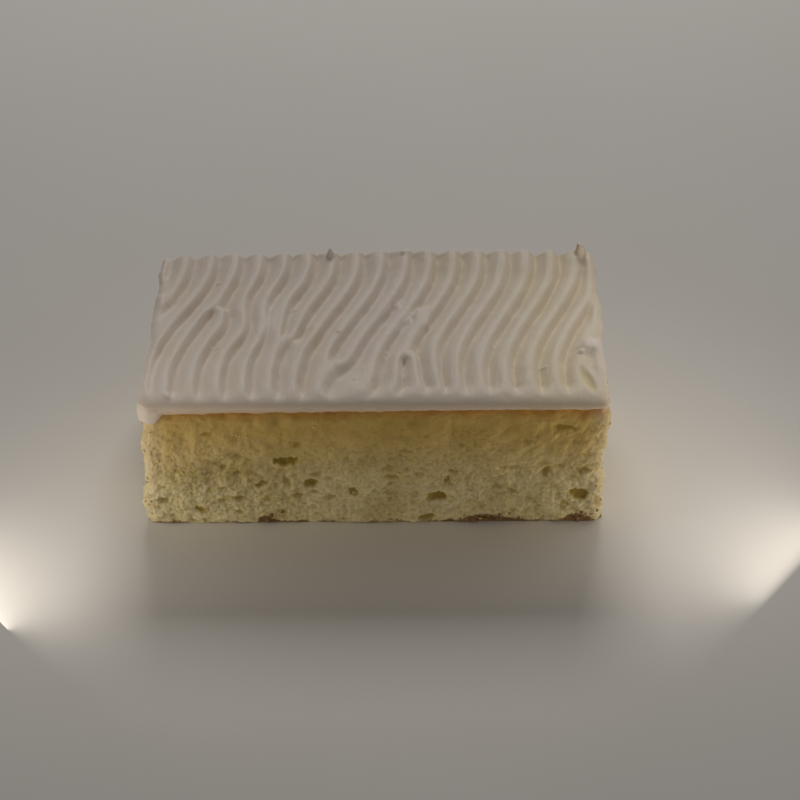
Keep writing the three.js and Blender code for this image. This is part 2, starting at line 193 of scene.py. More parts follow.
# Small lumps and flecks on the icing; rx and ry are reaches, and blunt is the share of flat top.
LUMPS = table(
    "x y rx ry height blunt",
    (-48.6, 9.5, 1.8, 3.4, 0.8, 0.2),
    (47.4, -9.4, 2.9, 3.4, 1.3, 0.15),
    (44.6, -11.5, 0.8, 0.8, 0.5, 0.1),
    (49.0, -16.0, 1.6, 6.0, 0.5, 0.2),
    (-18.4, 7.2, 1.0, 0.7, 0.35, 0.2),
    (-35.2, -8.0, 0.9, 0.5, 0.45, 0.1),
    (36.0, -16.0, 1.3, 0.45, 0.35, 0.1),
    (26.0, -8.3, 1.3, 0.45, 0.35, 0.1),
    (-36.5, 18.5, 0.8, 0.5, 0.4, 0.1),
    (-8.5, -3.0, 0.5, 0.5, 0.4, 0.1),
    (2.4, -10.2, 0.5, 0.5, 0.4, 0.1),
    (-44.5, -27.5, 1.3, 1.2, 0.35, 0.1),
)
LUMP_FOOT = 1.3  # where a lump ends, in reaches
LUMP_PALE = 7.0  # how much thicker than its height a lump looks
# Where the icing was pressed thin: long hollows that lean to the left on their way to the back.
DENTS = table(
    "x y rx ry lean depth yellow",
    (45.3, -21.8, 1.3, 5.2, 0.2, 0.8, 9.0),
    (-45.6, 9.2, 1.2, 3.2, -0.4, 0.35, 5.0),
)
DENT_EDGE = (0.2, 1.25)  # between these reaches a dent's side rises
PINHOLES = ((-16.7, -22.2), (-5.0, -22.0), (-0.7, -22.0), (17.7, 12.0), (40.3, 13.0), (-15.7, 15.5))
PINHOLE = {"radius": 0.28, "depth": 0.4}

# Random relief: layers of lumps as height, spacing and the shifts that keep them apart.
TOP_RIPPLES = ((0.05, 2.4, 3, 7), (0.03, 1.1, 1, 2))
BACK_RIPPLE = ((0.25, 4.1, 0, 3),)
LIP_WAVES = ((0.22, 3.1, 0, 3), (0.16, 1.2, 0, 11))
WALL_BUMPS = ((0.16, 2.2, 0, 0), (0.08, 0.9, 0, 40))
LUMP_RAGGED = ((0.2, 1.3, 0, 0),), ((0.2, 1.1, 0, 0),)
FOLD_RAGGED = ((0.22, 1.6, 0, 0),), ((0.3, 1.8, 0, 0),)
HOLE_RAGGED = ((0.7, 1.6, 0, 0), (0.4, 0.7, 0, 30)), ((0.45, 1.6, 0, 0), (0.35, 0.7, 30, 0))
UNEVEN = {"height": 0.45, "spacing": 4.6, "reach": 3.2, "finer": 0.4, "fine_spacing": 1.3}
SWELL = {"height": 0.14, "spacing": 19.0}

# The sponge's sides, as height, how far the front and back cuts stand in from the icing's
# outline, and how far out the left and the right end reach.
SPONGE_SIDES = (
    (0.0, 0.9, 49.6, 49.0),
    (1.0, 0.4, 50.4, 49.5),
    (5.5, 0.3, 51.2, 49.3),
    (9.0, 0.5, 50.5, 49.5),
    (13.0, 0.85, 50.0, 48.8),
    (18.0, 1.05, 50.4, 49.0),
    (21.0, 1.1, 50.2, 49.6),
    (26.0, 1.25, 49.9, 50.1),
    (SPONGE_TOP, 1.3, 49.4, 49.5),
)
CRAGS = table("height spacing flatness shift", (0.55, 2.9, 1.3, 0), (0.22, 1.25, 1.1, 9))
# How open the crumb is: closer towards the top, and looser in patches.
OPEN = {"least": 0.45, "more": 0.65, "between": (8, 27)}
OPEN_PATCHES = {"height": 0.25, "flatness": 1.6, "spacing": 9.0}

# The larger holes on the front cut: place, width, height and depth.
FRONT_HOLES = (
    (-19.6, 16.2, 5.4, 1.9, 1.7),
    (44.5, 7.4, 4.4, 2.8, 1.8),
    (13.4, 7.0, 3.7, 2.4, 1.6),
    (-14.5, 10.4, 3.3, 1.8, 1.4),
    (-5.1, 8.1, 2.9, 1.9, 1.2),
    (-37.6, 3.8, 2.8, 2.4, 1.2),
    (-46.0, 6.2, 2.8, 1.7, 1.1),
    (40.5, 24.3, 7.0, 1.4, 0.8),
    (10.9, 1.4, 3.4, 2.4, 1.1),
    (15.8, 11.3, 2.6, 1.5, 1.0),
    (37.8, 13.0, 2.4, 2.0, 0.9),
    (-25.3, 10.4, 2.3, 1.5, 1.1),
    (-17.0, 7.4, 2.6, 1.6, 0.9),
    (-17.2, 21.0, 2.8, 2.2, 0.7),
    (-19.4, 11.2, 2.0, 2.4, 0.7),
    (41.3, 4.5, 2.1, 1.6, 0.9),
    (45.3, 14.0, 2.6, 1.3, 0.8),
    (-36.9, 23.7, 3.2, 1.1, 0.5),
    (32.5, 21.4, 3.2, 0.9, 0.5),
    (11.0, 23.0, 2.4, 0.9, 0.5),
    (2.3, 14.8, 2.2, 0.8, 0.6),
    (-33.4, 14.5, 1.7, 1.5, 0.7),
    (28.4, 14.5, 2.0, 0.9, 0.7),
    (21.0, 9.0, 2.0, 0.9, 0.7),
    (18.8, 20.3, 1.4, 1.4, 0.6),
)
# Sizes of the fine bubbles: their spacing as a share of the largest's, and the widest radius
# as a share of their own spacing.
PORE_SIZES = ((1.0, 0.56), (0.5, 0.68), (0.28, 0.74))
OTHER_HOLES = {"count": 58, "smallest": 2.2, "largest": 4.0, "flatness": 0.66, "depth": 0.45, "seed": 17}
HOLES_BETWEEN = (1.5, 25.0)  # heights of their middles
HOLE_SHAPE = {"across": 0.56, "up": 0.6, "wall": 3}  # half sizes, as shares, and the walls' power
# Where the crust of the base broke into brown crumbs: along the front, and elsewhere in patches.
CRUST = {"share": (0.35, 0.8), "spacing": 9.0, "behind": 5.0, "inward": 3.0, "height": (0.8, 3.0)}
CRUST_SPOTS = table("x reach", (25.0, 6.0), (-24.0, 2.0), (45.0, 3.4))

# Where the loose crumbs lie on the cuts; right is how many more at the right end.
CRUMBS = {"under_top": 3.5, "end_fade": 3.0, "end_reach": 4.5, "right": 1.6, "patch": 6.0}

# The camera: angles are azimuth, elevation and roll in degrees; target and distance in millimetres.
CAMERA = {"lens": 99.0, "angles": (-0.81, 34.53, 0.25), "target": (5.34, 0.0, 12.46), "distance": 501.3}

# Fineness of the meshes.
ICING_CELL = {"across": 0.26, "along": 0.37}
FRONT_CELL = 0.27
OTHER_CELL = 0.38
LEVEL_CELL = 0.3


# ------------------------------------------------------------------ small helpers
def linear(code):
    """The linear colour of an sRGB hex value."""
    parts = [int(code[i : i + 2], 16) / 255 for i in (1, 3, 5)]
    return [c / 12.92 if c <= 0.04045 else ((c + 0.055) / 1.055) ** 2.4 for c in parts] + [1.0]


def smooth(low, high, value):
    """0 below low, 1 above high, and an even S-curve in between."""
    t = np.clip((value - low) / (high - low), 0, 1)
    return t * t * (3 - 2 * t)


def bell(dx, dy, rx, ry=None):
    """A bell of height 1 round a centre, with its own reach along each axis."""
    return np.exp(-((dx / rx) ** 2) - (dy / (rx if ry is None else ry)) ** 2)


def lattice_height(i, j):
    """A repeatable random height, 0 to 1, for each corner of a square lattice."""
    bits = (i.astype(np.int64) * 374761393 + j.astype(np.int64) * 668265263) & 0xFFFFFFFF
    bits = ((bits ^ (bits >> 13)) * 1274126177) & 0xFFFFFFFF
    return (bits ^ (bits >> 16)) / 4294967295


def lumps(a, b, spacing):
    """Uneven lumps between -1 and 1: the lattice's heights with smooth slopes in between."""
    a, b = np.broadcast_arrays(np.asarray(a, float) / spacing, np.asarray(b, float) / spacing)
    i, j = np.floor(a), np.floor(b)
    s, t = smooth(0, 1, a - i), smooth(0, 1, b - j)
    low = lattice_height(i, j) * (1 - s) + lattice_height(i + 1, j) * s
    high = lattice_height(i, j + 1) * (1 - s) + lattice_height(i + 1, j + 1) * s
    return 2 * (low * (1 - t) + high * t) - 1


def layered(a, b, layers):
    """Lumps of several sizes, one on another."""
    return sum(
        height * lumps(a + shift_a, b + shift_b, spacing)
        for height, spacing, shift_a, shift_b in layers
    )


def add_node(tree, kind, *inputs, output=0, **settings):
    """Adds a node, sets it, fills its visible inputs in order, and gives the output asked for."""
    node = tree.nodes.new(kind)
    for name, value in settings.items():
        setattr(node, name, value)
    for socket, value in zip([s for s in node.inputs if s.enabled], inputs):
        if isinstance(value, bpy.types.NodeSocket):
            tree.links.new(value, socket)
        elif value is not None:
            socket.default_value = value
    visible = [s for s in node.outputs if s.enabled]
    if isinstance(output, str):
        return next(s for s in visible if s.name == output)
    return visible[output] if visible else None


def new_tree(name, inputs, output):
    """An empty geometry node tree: its inputs by name, type and default, and its one output."""
    tree = bpy.data.node_groups.new(name, "GeometryNodeTree")
    for label, (kind, default) in inputs.items():
        socket = tree.interface.new_socket(label, in_out="INPUT", socket_type="NodeSocket" + kind)
        if default is not None:
            socket.default_value = default
    tree.interface.new_socket(output, in_out="OUTPUT", socket_type="NodeSocket" + output)
    return tree, tree.nodes.new("NodeGroupInput").outputs, partial(add_node, tree)


def grow(obj, tree, values):
    """Runs a geometry node tree on an object and keeps what it makes as the object's plain mesh."""
    modifier = obj.modifiers.new(tree.name, "NODES")
    modifier.node_group = tree
    for item in tree.interface.items_tree:
        if item.in_out == "INPUT" and item.name in values:
            modifier[item.identifier] = values[item.name]
    evaluated = obj.evaluated_get(bpy.context.evaluated_depsgraph_get())
    made = bpy.data.meshes.new_from_object(evaluated)
    obj.modifiers.remove(modifier)
    obj.data = made
    if len(made.polygons) == 0:
        raise RuntimeError(obj.name + ": its geometry nodes made no faces")
    return obj


def mesh_object(name, points, faces, **attributes):
    """A smooth-shaded object from points in millimetres; attributes are one value or row a point."""
    mesh = bpy.data.meshes.new(name)
    mesh.from_pydata((np.asarray(points) * MM).tolist(), [], faces)
    for label, values in attributes.items():
        values = np.asarray(values, np.float32)
        vector = values.ndim == 2
        layer = mesh.attributes.new(label, "FLOAT_VECTOR" if vector else "FLOAT", "POINT")
        layer.data.foreach_set("vector" if vector else "value", values.ravel())
    mesh.polygons.foreach_set("use_smooth", np.ones(len(mesh.polygons), bool))
    mesh.update()
    obj = bpy.data.objects.new(name, mesh)
    bpy.context.scene.collection.objects.link(obj)
    return obj


def get_points(obj):
    """The object's points in millimetres, as rows."""
    flat = np.empty(len(obj.data.vertices) * 3, np.float32)
    obj.data.vertices.foreach_get("co", flat)
    return flat.reshape(-1, 3).astype(float) / MM


def set_points(obj, points):
    """Moves the object's points to these rows of millimetres."""
    obj.data.vertices.foreach_set("co", (points * MM).astype(np.float32).ravel())
    obj.data.update()


# ------------------------------------------------------------------ outlines
def edge_shares(x, y, reach):
    """How near a point is to the sides and to the ends; the two make a unit circle on the outline."""
    a = np.clip(1 - (HALF_W - np.abs(x)) / reach, 0, 1)
    b = np.clip(1 - (HALF_D - np.abs(y)) / reach, 0, 1)
    return a * np.sqrt(1 - b * b / 2), b * np.sqrt(1 - a * a / 2)


def rounded(x, y):
    """Places in plan of a plain rectangle's points, once its corners are rounded."""
    side, end = edge_shares(x, y, CORNER)
    px = np.where(side > 0, np.sign(x) * (HALF_W - CORNER + CORNER * side), x)
    py = np.where(end > 0, np.sign(y) * (HALF_D - CORNER + CORNER * end), y)
    return px, py


def rectangle_loop(columns, rows):
    """Grid indices round a rectangle's border, anticlockwise from the front-left corner."""
    grid = np.arange(columns * rows).reshape(rows, columns)
    return np.concatenate([grid[0, :-1], grid[:-1, -1], grid[-1, :0:-1], grid[:0:-1, 0]])


def way_out(px, py):
    """The direction out of an anticlockwise loop at each of its points."""
    tx, ty = np.roll(px, -1) - np.roll(px, 1), np.roll(py, -1) - np.roll(py, 1)
    length = np.hypot(tx, ty)
    return ty / length, -tx / length


def wall_faces(low, high):
    """Quads between two rings of the same length, facing out."""
    return np.column_stack([low, np.roll(low, -1), np.roll(high, -1), high]).tolist()


# ------------------------------------------------------------------ materials
def start_material(name, values):
    """A material with plain values on its shader's own sockets; gives what its nodes are added by."""
    material = bpy.data.materials.new(name)
    material.use_nodes = True
    tree = material.node_tree
    shader = next(node for node in tree.nodes if node.type == "BSDF_PRINCIPLED")
    for label, value in values.items():
        shader.inputs[label].default_value = value
    return material, partial(add_node, tree), tree.links, shader.inputs


def lemon_buttercream(look):
    """Lemon buttercream: butter beaten with icing sugar, spread and then drawn out with a comb.

    It is dense and pale, lets light in by about a millimetre, and has a soft, greasy sheen.
    Where the comb cut deep, the layer is thin and the sponge below warms its colour; that colour is a
    little darker too, as painted shade in the grooves.
    """
    values = {
        "Roughness": 0.56,
        "IOR": 1.46,
        "Subsurface Weight": 0.3,
        "Subsurface Radius": (1.0, 0.75, 0.45),
        "Subsurface Scale": 0.7 * MM,
        "Specular IOR Level": 0.3,
    }
    material, n, links, shader = start_material("Lemon_buttercream", values)
    place = n("ShaderNodeTexCoord", output="Object")
    groove, stroke, stain = (
        n("ShaderNodeAttribute", attribute_name=layer, output="Fac")
        for layer in ("groove", "stroke", "stain")
    )

    # Where the layer is thin the sponge warms it: in patches two centimetres across, towards the
    # right end, and most in the grooves, where its darker tone is also painted shade.
    patches = n("ShaderNodeTexNoise", place, 1 / (20 * MM), 2.0)
    warm = n("ShaderNodeMapRange", patches, 0.35, 0.65, 0.08, 0.4)
    reach = n("ShaderNodeSeparateXYZ", place, output="X")
    end = n("ShaderNodeMapRange", reach, 5 * MM, 40 * MM, 0.0, 0.6)
    warm = n("ShaderNodeMath", warm, end, operation="ADD")
    thin = n("ShaderNodeMath", groove, 0.08, 0.48, operation="MULTIPLY_ADD")
    share = n("ShaderNodeMath", warm, thin, operation="MULTIPLY", use_clamp=True)
    pale, deep = linear(look.icing_colour), linear(look.thin_and_shaded_colour)
    colour = n("ShaderNodeMix", share, pale, deep, data_type="RGBA")
    # The comb's teeth dragged the floors of the grooves rough, so only the ridges have a sheen.
    sheen = n("ShaderNodeMapRange", groove, 1.1, 1.7, 0.3, 0.0)
    links.new(sheen, shader["Specular IOR Level"])

    # The lip and the front of the top take a warmer, darker colour: partly a stain drawn from the baked
    # top that the lip lies against, partly painted shade and warm bounce light.
    colour = n("ShaderNodeMix", stain, colour, linear(look.lip_shade_and_stain_colour), data_type="RGBA")
    links.new(colour, shader["Base Color"])

    # Drag lines along each stroke, and the grain of the sugar, half a millimetre across.
    across = n("ShaderNodeMath", stroke, 1.7, operation="MULTIPLY")
    along = n("ShaderNodeSeparateXYZ", place, output="Y")
    along = n("ShaderNodeMath", along, 0.22 / MM, operation="MULTIPLY")
    line_place = n("ShaderNodeCombineXYZ", across, along)
    drag = n("ShaderNodeTexNoise", line_place, 1.0, 3.0)
    grain = n("ShaderNodeTexNoise", place, 1 / (0.5 * MM), 3.0)
    grain = n("ShaderNodeMath", grain, 0.35, drag, operation="MULTIPLY_ADD")
    links.new(n("ShaderNodeBump", 0.4, 0.16 * MM, 1.0, grain), shader["Normal"])
    return material


def sponge_crumb(look):
    """Butter sponge with lemon: batter set as thin yellow walls round small bubbles.

    The walls are matt and glow a little. The depths of the holes are painted darker and more golden
    as shade, a band under the icing is the baked top, and the base keeps a thin brown crust, torn in
    places.
    """
    values = {
        "Roughness": 0.85,
        "IOR": 1.4,
        "Subsurface Weight": 0.4,
        "Subsurface Radius": (1.0, 0.62, 0.25),
        "Subsurface Scale": 0.9 * MM,
        "Specular IOR Level": 0.25,
    }
    material, n, links, shader = start_material("Lemon_sponge_crumb", values)
    place = n("ShaderNodeTexCoord", output="Object")
    height = n("ShaderNodeSeparateXYZ", place, output="Z")
    pit, flake, crusty = (
        n("ShaderNodeAttribute", attribute_name=layer, output="Fac")
        for layer in ("pit", "flake", "crusty")
    )

    # Some flakes are paler and centimetre patches more golden; the pits are painted darker and more
    # golden as shade.
    walls = n("ShaderNodeTexNoise", place, 1 / (0.9 * MM), 3.0)
    walls = n("ShaderNodeMath", walls, 0.5, operation="SUBTRACT")
    walls = n("ShaderNodeMath", walls, 1.6, flake, operation="MULTIPLY_ADD")
    walls = n("ShaderNodeMapRange", walls, 0.35, 1.0, 0.0, 0.85)
    patches = n("ShaderNodeTexNoise", place, 1 / (9 * MM), 3.0)
    patches = n("ShaderNodeMapRange", patches, 0.45, 0.7, 0.0, 0.35)
    # Painted shade: the deeper a pit, the more of the darker pore colour it gets.
    pore_shade = n("ShaderNodeMapRange", pit, 0.1, 1.0, 0.0, 0.9)
    # Both cut ends are painted paler: a painted glow where light shines through and round the thin ends.
    reach = n("ShaderNodeSeparateXYZ", place, output="X")
    reach = n("ShaderNodeMath", reach, operation="ABSOLUTE")
    end_glow = n("ShaderNodeMapRange", reach, 45 * MM, 50 * MM, 0.0, 0.65)
    # The upper half is a deeper gold than the lower, and painted darker as shade.
    upper = n("ShaderNodeMapRange", height, 8 * MM, 24 * MM, 0.0, 0.95)
    # The baked top fades down from the icing with an uneven lower edge.
    wobble = n("ShaderNodeTexNoise", place, 1 / (5 * MM), 3.0)
    drop = n("ShaderNodeMath", wobble, 2.4 * MM, height, operation="MULTIPLY_ADD")
    top = (SPONGE_TOP + 1.4) * MM
    baked = n("ShaderNodeMapRange", drop, top - 3.0 * MM, top - 0.3 * MM, 0.0, 0.85)
    # The crust of the base, which reaches up where more of it was left on.
    torn = n("ShaderNodeTexNoise", place, 1 / (2.6 * MM), 4.0)
    low = n("ShaderNodeMath", torn, -3.4 * MM, height, operation="MULTIPLY_ADD")
    low = n("ShaderNodeMath", crusty, -2.2 * MM, low, operation="MULTIPLY_ADD")
    crust = n("ShaderNodeMapRange", low, -1.15 * MM, -1.75 * MM, 0.0, 0.85)
    layers = (
        (walls, look.wall_and_end_glow_colour),
        (upper, look.upper_colour),
        (patches, look.patch_and_pore_shade_colour),
        (pore_shade, look.patch_and_pore_shade_colour),
        (baked, look.baked_colour),
        (end_glow, look.wall_and_end_glow_colour),
        (crust, look.crust_colour),
    )
    colour = linear(look.crumb_colour)
    for share, code in layers:
        colour = n("ShaderNodeMix", share, colour, linear(code), data_type="RGBA")
    links.new(colour, shader["Base Color"])

    grain = n("ShaderNodeTexNoise", place, 1 / (0.45 * MM), 4.0)
    links.new(n("ShaderNodeBump", 0.7, 0.25 * MM, 1.0, grain), shader["Normal"])
    return material


def loose_crumb(name, low, high):
    """Crumbs rubbed off a cut: dry and matt, each a little paler or darker than the next."""
    values = {
        "Roughness": 0.9,
        "IOR": 1.4,
        "Subsurface Weight": 0.4,
        "Subsurface Radius": (1.0, 0.6, 0.25),
        "Subsurface Scale": 0.6 * MM,
        "Specular IOR Level": 0.2,
    }
    material, n, links, shader = start_material(name, values)
    place = n("ShaderNodeTexCoord", output="Object")
    tint = n("ShaderNodeTexNoise", place, 1 / (1.5 * MM), 2.0)
    tint = n("ShaderNodeMapRange", tint, 0.35, 0.65, 0.0, 1.0)
    colour = n("ShaderNodeMix", tint, linear(low), linear(high), data_type="RGBA")
    links.new(colour, shader["Base Color"])
    grain = n("ShaderNodeTexNoise", place, 1 / (0.3 * MM), 3.0)
    links.new(n("ShaderNodeBump", 0.6, 0.12 * MM, 1.0, grain), shader["Normal"])
    return material


# ------------------------------------------------------------------ icing
def bell_group():
    """Bell: a node group that gives a bell of height 1 round a centre, with its own reaches."""
    inputs = {"Place": ("Vector", None), "Centre": ("Vector", None), "Reach": ("Vector", None)}
    tree, given, n = new_tree("Bell", inputs, "Float")
    offset = n("ShaderNodeVectorMath", given["Place"], given["Centre"], operation="SUBTRACT")
    scaled = n("ShaderNodeVectorMath", offset, given["Reach"], operation="DIVIDE")
    square = n("ShaderNodeVectorMath", scaled, scaled, operation="DOT_PRODUCT")
    square = n("ShaderNodeMath", square, -1.0, operation="MULTIPLY")
    n("NodeGroupOutput", n("ShaderNodeMath", square, operation="EXPONENT"))
    return tree


def comb_tree():
    """Comb strokes: cuts the grooves of a toothed comb into the icing.

    A phase counts the grooves from left to right. Every stroke swings to the right on its way to
    the back and wavers where the hand did. The phase turns once round each fork, so that a groove
    starts or two run together there.
    """
    inputs = {
        "Geometry": ("Geometry", None),
        "Pitch": ("Float", 5.57),
        "Start": ("Float", -48.5),
        "Sway": ("Float", 12.5),
        "Sway fan": ("Float", 0.9),
        "Bend front": ("Float", -20.1),
        "Bend fan": ("Float", 2.6),
        "Bend back": ("Float", 27.5),
        "Depth": ("Float", 1.9),
        "Crest": ("Float", 0.66),
        "Crown": ("Float", 2.0),
        "Drag": ("Float", 0.1),
        "Material": ("Material", None),
    }
    tree, given, n = new_tree("Comb strokes", inputs, "Geometry")
    bells = bell_group()
    place = n("ShaderNodeVectorMath", n("GeometryNodeInputPosition"), 1 / MM, operation="SCALE")
    x, y = (n("ShaderNodeSeparateXYZ", place, output=axis) for axis in "XY")
    far = 1e6  # a reach that leaves the height out of a bell

    push = 0.0
    for spot in WAVERS:
        centre, reach = (spot["x"], spot["y"], 0.0), (spot["reach"], spot["reach"], far)
        here = n("GeometryNodeGroup", place, centre, reach, node_tree=bells)
        push = n("ShaderNodeMath", here, spot["push"], push, operation="MULTIPLY_ADD")

    across = n("ShaderNodeMath", x, push, operation="SUBTRACT")
    across = n("ShaderNodeMath", across, HALF_W, operation="DIVIDE")
    bend = n("ShaderNodeMath", across, given["Bend fan"], given["Bend front"], operation="MULTIPLY_ADD")
    swing = n("ShaderNodeMath", across, given["Sway fan"], given["Sway"], operation="MULTIPLY_ADD")
    back = given["Bend back"]
    turned = n("ShaderNodeMapRange", y, bend, back, 0.0, 1.0, interpolation_type="SMOOTHSTEP")
    shift = n("ShaderNodeMath", swing, turned, push, operation="MULTIPLY_ADD")
    stroke = n("ShaderNodeMath", x, shift, operation="SUBTRACT")
    phase = n("ShaderNodeMath", stroke, given["Start"], operation="SUBTRACT")
    phase = n("ShaderNodeMath", phase, given["Pitch"], operation="DIVIDE")

    share = n("GeometryNodeInputNamedAttribute", "combed", data_type="FLOAT")
    for fork in FORKS:
        dx = n("ShaderNodeMath", x, fork["x"], operation="SUBTRACT")
        dy = n("ShaderNodeMath", y, fork["y"], operation="SUBTRACT")
        turn = n("ShaderNodeMath", dx, dy, operation="ARCTAN2")
        once = fork["extra"] / (2 * math.pi)
        phase = n("ShaderNodeMath", turn, once, phase, operation="MULTIPLY_ADD")
    # The icing is closed over the middle of each fork, and in part where it was smeared.
    closed = [(fork["x"], fork["y"], FORK_CORE, FORK_CORE, 1.0) for fork in FORKS]
    for at_x, at_y, rx, ry, lost in closed + [smear.values() for smear in SMEARS]:
        here = n("GeometryNodeGroup", place, (at_x, at_y, 0.0), (rx, ry, far), node_tree=bells)
        left = n("ShaderNodeMath", here, -lost, 1.0, operation="MULTIPLY_ADD")
        share = n("ShaderNodeMath", share, left, operation="MULTIPLY")

    # A ridge is crowned, with a long left flank and a short, steep right one. How far down a
    # place lies runs from 0 at the crest to 1 in the groove on either side.
    phase = n("ShaderNodeMath", phase, 1.0, operation="FLOORED_MODULO")
    past = n("ShaderNodeMath", phase, given["Crest"], operation="SUBTRACT")
    left = n("ShaderNodeMath", past, given["Crest"], operation="DIVIDE")
    left = n("ShaderNodeMath", left, -1.0, operation="MULTIPLY")
    short = n("ShaderNodeMath", 1.0, given["Crest"], operation="SUBTRACT")
    right = n("ShaderNodeMath", past, short, operation="DIVIDE")
    down = n("ShaderNodeMath", left, right, operation="MAXIMUM")
    hollow = n("ShaderNodeMath", down, given["Crown"], operation="POWER")
    # Each tooth was blunt, so it left a rounded bottom.
    hollow = n("ShaderNodeMath", hollow, 0.85, 0.35, operation="SMOOTH_MIN")
    # The hand pressed more in some places than in others, about a centimetre apart.
    uneven = n("ShaderNodeTexNoise", place, 0.09, 2.0)
    uneven = n("ShaderNodeMapRange", uneven, 0.3, 0.7, 0.8, 1.15)
    for factor in (uneven, share, given["Depth"]):
        hollow = n("ShaderNodeMath", hollow, factor, operation="MULTIPLY")
    # How thin the layer looks changes more gently than its height.
    thin = down
    for factor in (share, given["Depth"]):
        thin = n("ShaderNodeMath", thin, factor, operation="MULTIPLY")

    # Drag lines that the comb left along each stroke, ten times as long as they are wide.
    drawn = n("ShaderNodeMath", y, 0.12, operation="MULTIPLY")
    side = n("ShaderNodeMath", stroke, 1.15, operation="MULTIPLY")
    lines = n("ShaderNodeTexNoise", n("ShaderNodeCombineXYZ", side, drawn), 1.0, 2.0)
    lines = n("ShaderNodeMath", lines, 0.5, operation="SUBTRACT")
    for factor in (share, 2.0, given["Drag"]):
        lines = n("ShaderNodeMath", lines, factor, operation="MULTIPLY")
    rise = n("ShaderNodeMath", lines, hollow, operation="SUBTRACT")
    rise = n("ShaderNodeMath", rise, MM, operation="MULTIPLY")

    made = n("GeometryNodeStoreNamedAttribute", given["Geometry"], True, "groove", thin)
    made = n("GeometryNodeStoreNamedAttribute", made, True, "stroke", stroke)
    made = n("GeometryNodeSetPosition", made, True, None, n("ShaderNodeCombineXYZ", 0.0, 0.0, rise))
    made = n("GeometryNodeRealizeInstances", made)
    n("NodeGroupOutput", n("GeometryNodeSetMaterial", made, True, given["Material"]))
    return tree


def edge_lines(length, low_reach, high_reach, cell):
    """Positions across the icing: along the arc of both rounded edges, and even in between."""
    low_angles, high_angles = (
        np.linspace(0, math.pi / 2, round(3 + reach / cell) + 1) for reach in (low_reach, high_reach)
    )
    low = low_reach * (1 - np.cos(low_angles)) - length / 2
    high = length / 2 - high_reach * (1 - np.cos(high_angles[::-1]))
    steps = round((high[0] - low[-1]) / cell)
    return np.concatenate([low, np.linspace(low[-1], high[0], steps + 1)[1:-1], high])


def icing_footprint(x, y):
    """The icing's place in plan: rounded corners, and an uneven edge at both ends and the back."""
    px, py = rounded(x, y)
    near_end = np.clip(1 - (HALF_W - np.abs(x)) / UNEVEN["reach"], 0, 1)
    near_back = np.clip(1 - (HALF_D - y) / UNEVEN["reach"], 0, 1)
    # Each edge reads rows of the lumps that no other reads.
    layers = ((1.0, UNEVEN["spacing"]), (UNEVEN["finer"], UNEVEN["fine_spacing"]))
    ends, backs = 0.0, 0.0
    for (height, spacing), end_row, back_row in zip(layers, (5, 9), (71, 75)):
        ends = ends + height * lumps(y, end_row * np.sign(x), spacing)
        backs = backs + height * lumps(x, back_row, spacing)
    px = px + np.sign(x) * UNEVEN["height"] * near_end * ends * (1 - near_back)
    py = py + UNEVEN["height"] * near_back * backs * (1 - near_end)
    for bulge in END_BULGES:
        out, side = bulge["out"] * bell(0, y - bulge["y"], bulge["reach"]), bulge["side"]
        px = px + side * out * smooth(0, HALF_W, side * x)
    bulge = BACK_BULGE["out"] + BACK_BULGE["bow"] * (1 - (x / HALF_W) ** 2)
    py = py + bulge * smooth(HALF_D - BACK_BULGE["reach"], HALF_D, y)
    return px, py


def edge_drop(x, y):
    """How far the top falls towards the outline, in an arc that turns from one edge's to the next's."""
    side, end = edge_shares(x, y, SHOULDER)
    turn = side**2 / np.maximum(side**2 + end**2, 1e-9)
    reach, fall = (
        turn * SIDE_EDGE[key] + (1 - turn) * np.where(y < 0, FRONT_EDGE[key], BACK_EDGE[key])
        for key in ("reach", "fall")
    )
    left = np.clip(1 - SHOULDER * (1 - np.hypot(side, end)) / reach, 0, 1)
    return fall * (1 - np.sqrt(1 - left * left))


def combed_share(x, y):
    """How much of the comb's depth is left by the plain bands along the edges."""
    further = PLAIN_FRONT["further"] * (1 - smooth(*PLAIN_FRONT["between"], x))
    front = smooth(FRONT_EDGE["plain_from"], FRONT_EDGE["plain_to"], HALF_D + y + further)
    back = smooth(BACK_EDGE["plain_from"], BACK_EDGE["plain_to"], HALF_D - y)
    side = smooth(SIDE_EDGE["plain_from"], SIDE_EDGE["plain_to"], HALF_W - np.abs(x))
    return front * back * side


def dent_shares(x, y):
    """For each dent, its measures and how much of its depth is pressed in at a place."""
    for dent in DENTS:
        dx, dy = x - dent["x"] + dent["lean"] * (y - dent["y"]), y - dent["y"]
        away = np.hypot(dx / dent["rx"], dy / dent["ry"])
        yield dent, 1 - smooth(*DENT_EDGE, away)


def lump_shares(x, y):
    """For each lump, its measures and its share of its height at a place."""
    bent_x, bent_y = (x + layered(x, y, LUMP_RAGGED[0]), y + layered(y, x, LUMP_RAGGED[1]))
    for lump in LUMPS:
        away = np.hypot((bent_x - lump["x"]) / lump["rx"], (bent_y - lump["y"]) / lump["ry"])
        yield lump, 1 - smooth(lump["blunt"], LUMP_FOOT, away)


